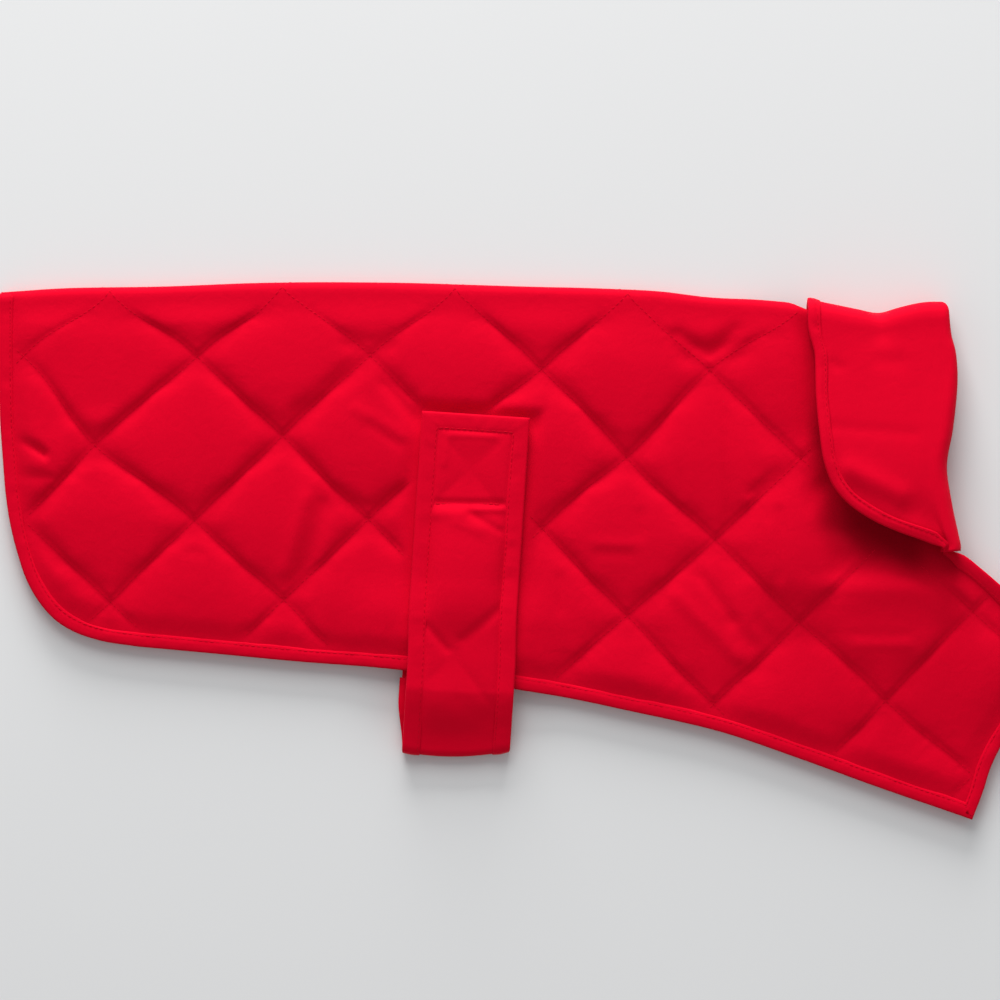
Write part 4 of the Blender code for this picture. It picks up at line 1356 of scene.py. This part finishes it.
def make_strap(sizes):
    """The belly strap, its wide tape and their stitching."""
    lie = StrapLie()
    half = STRAP_CUT_HALF
    a, b = np.meshgrid(np.linspace(0, lie.along[-1], 210), np.linspace(-half, half, 42), indexing="ij")
    flat = np.stack([b.ravel(), a.ravel()], axis=1)
    outer, inner = (lie.point(b, a, n).reshape(-1, 3) for n in (strap_wall(b, a, lie), 0))
    piece = closed_sheet("belly_strap", flat, grid_faces(b.shape).tolist(), outer, inner)
    finish(piece, "strap", plain_material())
    held = ("strap_tape", "strap_binding", *strap_edge(lie), STRAP_TAPE_WIDTH, STITCH_WALL, lie.point, 17)
    row = bind(*held, flat_width=0.023, rests_on="belly_strap", full=0.8)
    reach, place, lean, height = STRAP_SEAM
    across = np.linspace(-reach, reach, 40) * MM
    seam = np.stack([across, place * MM + lean * across, 0 * across + height * MM], axis=1)
    sew("strap_stitching", [row, seam], lie.point, sizes)


# ---------------------------------------------------------------- materials


def fill_socket(tree, socket, value):
    """Gives a socket a value, or links it to another node's output."""
    if isinstance(value, bpy.types.NodeSocket):
        tree.links.new(value, socket)
    else:
        socket.default_value = value


def plug(tree, node, **sockets):
    """Fills a node's sockets by name."""
    for name, value in sockets.items():
        fill_socket(tree, node.inputs[name.replace("_", " ")], value)


def shade(tree, kind, settings=None, **sockets):
    """A new shader node with its settings, and its sockets filled by name."""
    node = tree.nodes.new("ShaderNode" + kind)
    for name, value in (settings or {}).items():
        setattr(node, name, value)
    plug(tree, node, **sockets)
    return node


def reckon(tree, operation, *values):
    """The output of a new math node on numbers or other nodes' outputs."""
    node = shade(tree, "Math", {"operation": operation})
    for socket, value in zip(node.inputs, values):
        fill_socket(tree, socket, value)
    return node.outputs["Value"]


def new_effect(name, inputs, outputs):
    """A new node group with named sockets: the group, what comes in, and its output node."""
    group = bpy.data.node_groups.new(name, "ShaderNodeTree")
    for direction, sockets in (("INPUT", inputs), ("OUTPUT", outputs)):
        for socket, kind in sockets.items():
            group.interface.new_socket(socket, in_out=direction, socket_type="NodeSocket" + kind)
    return group, group.nodes.new("NodeGroupInput").outputs, group.nodes.new("NodeGroupOutput")


def weave_group():
    """A plain weave: the height of its threads, and how light each is."""
    group = bpy.data.node_groups.get("plain_weave")
    if group:
        return group
    inputs, outputs = {"Cloth": "Vector", "Threads": "Float"}, {"Height": "Float", "Tone": "Float"}
    group, given, result = new_effect("plain_weave", inputs, outputs)
    cloth, threads = given["Cloth"], given["Threads"]
    across, along = (
        shade(
            group, "TexWave", {"wave_type": "BANDS", "bands_direction": direction, "wave_profile": "SIN"},
            Vector=cloth, Scale=threads, Distortion=0.6, Detail=1.0,
        ).outputs["Fac"]
        for direction in ("X", "Y")
    )  # fmt: skip
    over = shade(group, "TexChecker", Vector=cloth, Scale=threads, Color1=(1, 1, 1, 1), Color2=(0, 0, 0, 1))
    height = shade(group, "Mix", Factor=over.outputs["Fac"], A=across, B=along)
    tone = shade(group, "TexNoise", Vector=cloth, Scale=38.0, Detail=4.0, Roughness=0.6)
    plug(group, result, Height=height.outputs["Result"], Tone=tone.outputs["Fac"])
    return group


def seam_pull_group():
    """Small gathers of the cloth along one run of parallel seams."""
    group = bpy.data.node_groups.get("seam_pull")
    if group:
        return group
    group, given, result = new_effect("seam_pull", {"Across": "Float", "Along": "Float"}, {"Height": "Float"})
    seam = reckon(group, "ROUND", given["Across"])
    offset = reckon(group, "SUBTRACT", given["Across"], seam)
    distance = reckon(group, "ABSOLUTE", offset)
    side = reckon(group, "MULTIPLY", reckon(group, "SIGN", offset), 0.9)
    which = reckon(group, "ADD", reckon(group, "MULTIPLY", seam, 3.7), side)
    stretched = reckon(group, "MULTIPLY", given["Along"], 7.0)
    out_from_seam = reckon(group, "ADD", which, reckon(group, "MULTIPLY", distance, 2.0))
    where = shade(group, "CombineXYZ", X=stretched, Y=out_from_seam)
    gathers = shade(group, "TexNoise", Vector=where.outputs["Vector"], Scale=1.0, Detail=2.0, Roughness=0.5)
    fading = {"interpolation_type": "SMOOTHSTEP"}
    near = shade(group, "MapRange", fading, Value=distance, From_Max=0.17, To_Min=1.0, To_Max=0.0)
    middle = reckon(group, "SUBTRACT", gathers.outputs["Fac"], 0.5)
    plug(group, result, Height=reckon(group, "MULTIPLY", middle, near.outputs["Result"]))
    return group


def seam_gathers(tree, cloth):
    """Height of the gathers along the quilting's two runs of seams."""
    apart = shade(tree, "SeparateXYZ", Vector=cloth)
    axes = (("X", QUILT_CROSSING[0], QUILT_HALF_LENGTH), ("Y", QUILT_CROSSING[1], QUILT_HALF_DROP))
    scaled = []
    for axis, start, half in axes:
        ends = {"From_Min": start, "From_Max": start + 2 * half}
        scaled.append(shade(tree, "MapRange", {"clamp": False}, Value=apart.outputs[axis], **ends))
    u, v = (node.outputs["Result"] for node in scaled)
    runs_at = [reckon(tree, way, u, v) for way in ("ADD", "SUBTRACT")]
    heights = [
        shade(tree, "Group", {"node_tree": seam_pull_group()}, Across=across, Along=along).outputs["Height"]
        for across, along in (runs_at, runs_at[::-1])
    ]
    return reckon(tree, "ADD", *heights)


def new_material(name):
    """A new material, its node tree and its shader."""
    material = bpy.data.materials.new(name)
    material.use_nodes = True
    return material, material.node_tree, material.node_tree.nodes["Principled BSDF"]


def tint(colour, share=1.0):
    """A colour made deeper, for a shader's socket."""
    return (*(v * share for v in colour), 1)


def tone_and_shade_blend(tree, share, first, second):
    """One colour turning into another by a share that changes over the surface: the weave's and thread's own
    tones, and the shade painted beside the collar.
    """
    return shade(tree, "Mix", {"data_type": "RGBA"}, Factor=share, A=first, B=second).outputs["Result"]


def embossed(tree, height, below=None, **sockets):
    """The normal of a surface with a height raised on it, over another normal if one is given."""
    bump = shade(tree, "Bump", Height=height, **sockets)
    if below:
        plug(tree, bump, Normal=below)
    return bump.outputs["Normal"]


def cloth_material(name, colour, roughness, threads, crinkle, quilted=False):
    """A woven cloth in its dye colour with a soft sheen, its weave and its fine crinkles; the quilted one
    also has shade painted into its colour beside the collar.
    """
    material = bpy.data.materials.get(name)
    if material:
        return material
    material, tree, shader = new_material(name)
    cut = shade(tree, "UVMap", {"uv_map": "cut"}).outputs["UV"]
    weave = shade(tree, "Group", {"node_tree": weave_group()}, Cloth=cut, Threads=threads)
    tone = weave.outputs["Tone"]
    colours = tone_and_shade_blend(tree, tone, tint(colour, 0.9), tint(colour))
    rough = shade(tree, "MapRange", Value=tone, To_Min=roughness - 0.06, To_Max=roughness + 0.06)
    place = shade(tree, "TexCoord").outputs["Object"]
    creases = shade(tree, "TexNoise", Vector=place, Scale=150.0, Detail=5.0, Roughness=0.55, Distortion=0.6)
    normal = embossed(tree, weave.outputs["Height"], Strength=0.25, Distance=0.08 * MM)
    normal = embossed(tree, creases.outputs["Fac"], normal, Strength=crinkle, Distance=0.6 * MM)
    if quilted:
        # Painted shade: the colour is darkened to 0.42 of itself where the mask beside the collar is high,
        # standing in for the collar's shadow
        deep = shade(tree, "Attribute", {"attribute_name": "tucked"}).outputs["Fac"]
        colours = tone_and_shade_blend(tree, deep, colours, tint(colour, 0.42))
        normal = embossed(tree, seam_gathers(tree, cut), normal, Strength=1.0, Distance=0.4 * MM)
    plug(
        tree, shader, Base_Color=colours, Roughness=rough.outputs["Result"], Normal=normal,
        Specular_IOR_Level=0.1, Specular_Tint=(1.0, 0.05, 0.13, 1),
        Sheen_Weight=0.18, Sheen_Roughness=0.45, Sheen_Tint=(1.0, 0.02, 0.09, 1),
    )  # fmt: skip
    return material


def shell_material():
    """The quilted cloth, with gathers along its seams."""
    colour = bpy.context.scene.coat_colours.shell
    return cloth_material("quilted_cloth", colour, 0.72, 1500, 0.35, quilted=True)


def plain_material():
    """The same cloth without the coat's own quilting, for the collar and the strap."""
    return cloth_material("plain_cloth", bpy.context.scene.coat_colours.shell, 0.72, 1500, 0.3)


def tape_material():
    """The bindings' closer woven tape."""
    return cloth_material("tape_cloth", bpy.context.scene.coat_colours.tape, 0.68, 1100, 0.25)


def thread_material():
    """Twisted sewing thread."""
    material = bpy.data.materials.get("sewing_thread")
    if material:
        return material
    material, tree, shader = new_material("sewing_thread")
    colour = bpy.context.scene.coat_colours.thread
    place = shade(tree, "TexCoord").outputs["Object"]
    twist = shade(tree, "TexNoise", Vector=place, Scale=2200.0, Detail=2.0).outputs["Fac"]
    plug(
        tree, shader, Base_Color=tone_and_shade_blend(tree, twist, tint(colour, 0.75), tint(colour)),
        Normal=embossed(tree, twist, Strength=0.4, Distance=0.1 * MM),
        Roughness=0.5, Specular_IOR_Level=0.3, Specular_Tint=(1.0, 0.06, 0.12, 1),
    )  # fmt: skip
    return material


def finish(piece, node, material):
    """Gives a piece its material and its place in the model."""
    piece.data.materials.append(material)
    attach(piece, "root")
    if node:
        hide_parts(node)


# ---------------------------------------------------------------- the stage

VIEW_WIDTH = 530 * MM  # how much of the floor the camera sees across
VIEW_CENTRE = (265 * MM, -104.4 * MM)  # its middle, from the tail edge and the collar's top line
SENSOR = 36.0
LIGHT_COLOUR = (1.0, 0.99, 0.98)
SKY_COLOUR = (0.97, 0.985, 1.0, 1)
# Each large light's place and size, in metres; its power is the setting of the same name
LIGHTS = {"key": ((-0.3, 1.8, 1.7), (1.5, 1.3)), "rake": ((-0.3, 4.4, 1.1), (2.6, 1.7))}


def add_light(name, place, size, power):
    """A large soft light that faces the coat."""
    data = bpy.data.lights.new(name, "AREA")
    data.shape = "RECTANGLE"
    data.size, data.size_y = size
    data.energy = power
    data.color = LIGHT_COLOUR
    light = bpy.data.objects.new(name, data)
    light.location = place
    light.rotation_euler = (-Vector(place)).to_track_quat("-Z", "Y").to_euler()
    light.visible_camera = False
    bpy.context.scene.collection.objects.link(light)


def make_stage(stage):
    """A pale floor, soft studio light and the camera straight over the coat."""
    scene = bpy.context.scene
    bpy.ops.mesh.primitive_plane_add(size=14, location=(0, 0, -0.3 * MM))
    floor = bpy.context.object
    floor.name = "studio_floor"
    material, tree, shader = new_material("pale_floor")
    plug(tree, shader, Base_Color=tint(stage.floor), Roughness=0.9, Specular_IOR_Level=0.1)
    floor.data.materials.append(material)
    world = scene.world or bpy.data.worlds.new("studio")
    scene.world = world
    world.use_nodes = True
    plug(world.node_tree, world.node_tree.nodes["Background"], Color=SKY_COLOUR, Strength=stage.fill)
    for name, (place, size) in LIGHTS.items():
        add_light(name, place, size, getattr(stage, name))
    camera = bpy.data.cameras.new("camera")
    camera.sensor_width = SENSOR
    camera.lens = SENSOR * stage.camera_height / VIEW_WIDTH
    camera.clip_start, camera.clip_end = 0.05, 50
    eye = bpy.data.objects.new("camera", camera)
    eye.location = (VIEW_CENTRE[0] - TAIL_X, VIEW_CENTRE[1] + COLLAR_TOP_Y, stage.camera_height)
    scene.collection.objects.link(eye)
    scene.camera = eye
    scene.view_settings.view_transform = "Standard"


# ---------------------------------------------------------------- operators and panel


class COAT_OT_shell(Operator):
    """Make the quilted cloth and its stitching"""

    bl_idname = "coat.shell"
    bl_label = "Quilted shell"

    def execute(self, context):
        sizes = context.scene.coat_sizes
        make_shell(sizes)
        make_quilt_stitching(sizes)
        return {"FINISHED"}


class COAT_OT_hem_binding(Operator):
    """Make the tape round the coat's edge"""

    bl_idname = "coat.hem_binding"
    bl_label = "Hem binding"

    def execute(self, context):
        make_hem_binding(context.scene.coat_sizes)
        return {"FINISHED"}


class COAT_OT_collar(Operator):
    """Make the collar and its tape"""

    bl_idname = "coat.collar"
    bl_label = "Collar"

    def execute(self, context):
        make_collar(context.scene.coat_sizes)
        return {"FINISHED"}


class COAT_OT_strap(Operator):
    """Make the belly strap and its tape"""

    bl_idname = "coat.strap"
    bl_label = "Belly strap"

    def execute(self, context):
        make_strap(context.scene.coat_sizes)
        return {"FINISHED"}


class COAT_OT_stage(Operator):
    """Make the floor, the lights and the camera"""

    bl_idname = "coat.stage"
    bl_label = "Stage"

    def execute(self, context):
        make_stage(context.scene.coat_stage)
        return {"FINISHED"}


class COAT_PT_panel(Panel):
    """The coat's pieces and settings"""

    bl_label = "Dog Coat"
    bl_idname = "COAT_PT_panel"
    bl_space_type = "VIEW_3D"
    bl_region_type = "UI"
    bl_category = "Dog Coat"

    def draw(self, context):
        for operator in OPERATORS:
            self.layout.operator(operator.bl_idname)
        for group in (context.scene.coat_sizes, context.scene.coat_colours, context.scene.coat_stage):
            for name in group.__annotations__:
                self.layout.prop(group, name)


OPERATORS = (COAT_OT_shell, COAT_OT_hem_binding, COAT_OT_collar, COAT_OT_strap, COAT_OT_stage)
CLASSES = (CoatSizes, CoatColours, StageSettings, *OPERATORS, COAT_PT_panel)


def register():
    """Makes the settings, operators and panel known to Blender."""
    for made in CLASSES:
        bpy.utils.register_class(made)
    bpy.types.Scene.coat_sizes = PointerProperty(type=CoatSizes)
    bpy.types.Scene.coat_colours = PointerProperty(type=CoatColours)
    bpy.types.Scene.coat_stage = PointerProperty(type=StageSettings)


def unregister():
    """Takes them away again."""
    del bpy.types.Scene.coat_sizes, bpy.types.Scene.coat_colours, bpy.types.Scene.coat_stage
    for made in reversed(CLASSES):
        bpy.utils.unregister_class(made)


def main():
    """Makes the coat and its stage."""
    register()
    bpy.ops.coat.shell()
    bpy.ops.coat.hem_binding()
    bpy.ops.coat.collar()
    bpy.ops.coat.strap()
    bpy.ops.coat.stage()


if __name__ == "__main__":
    main()
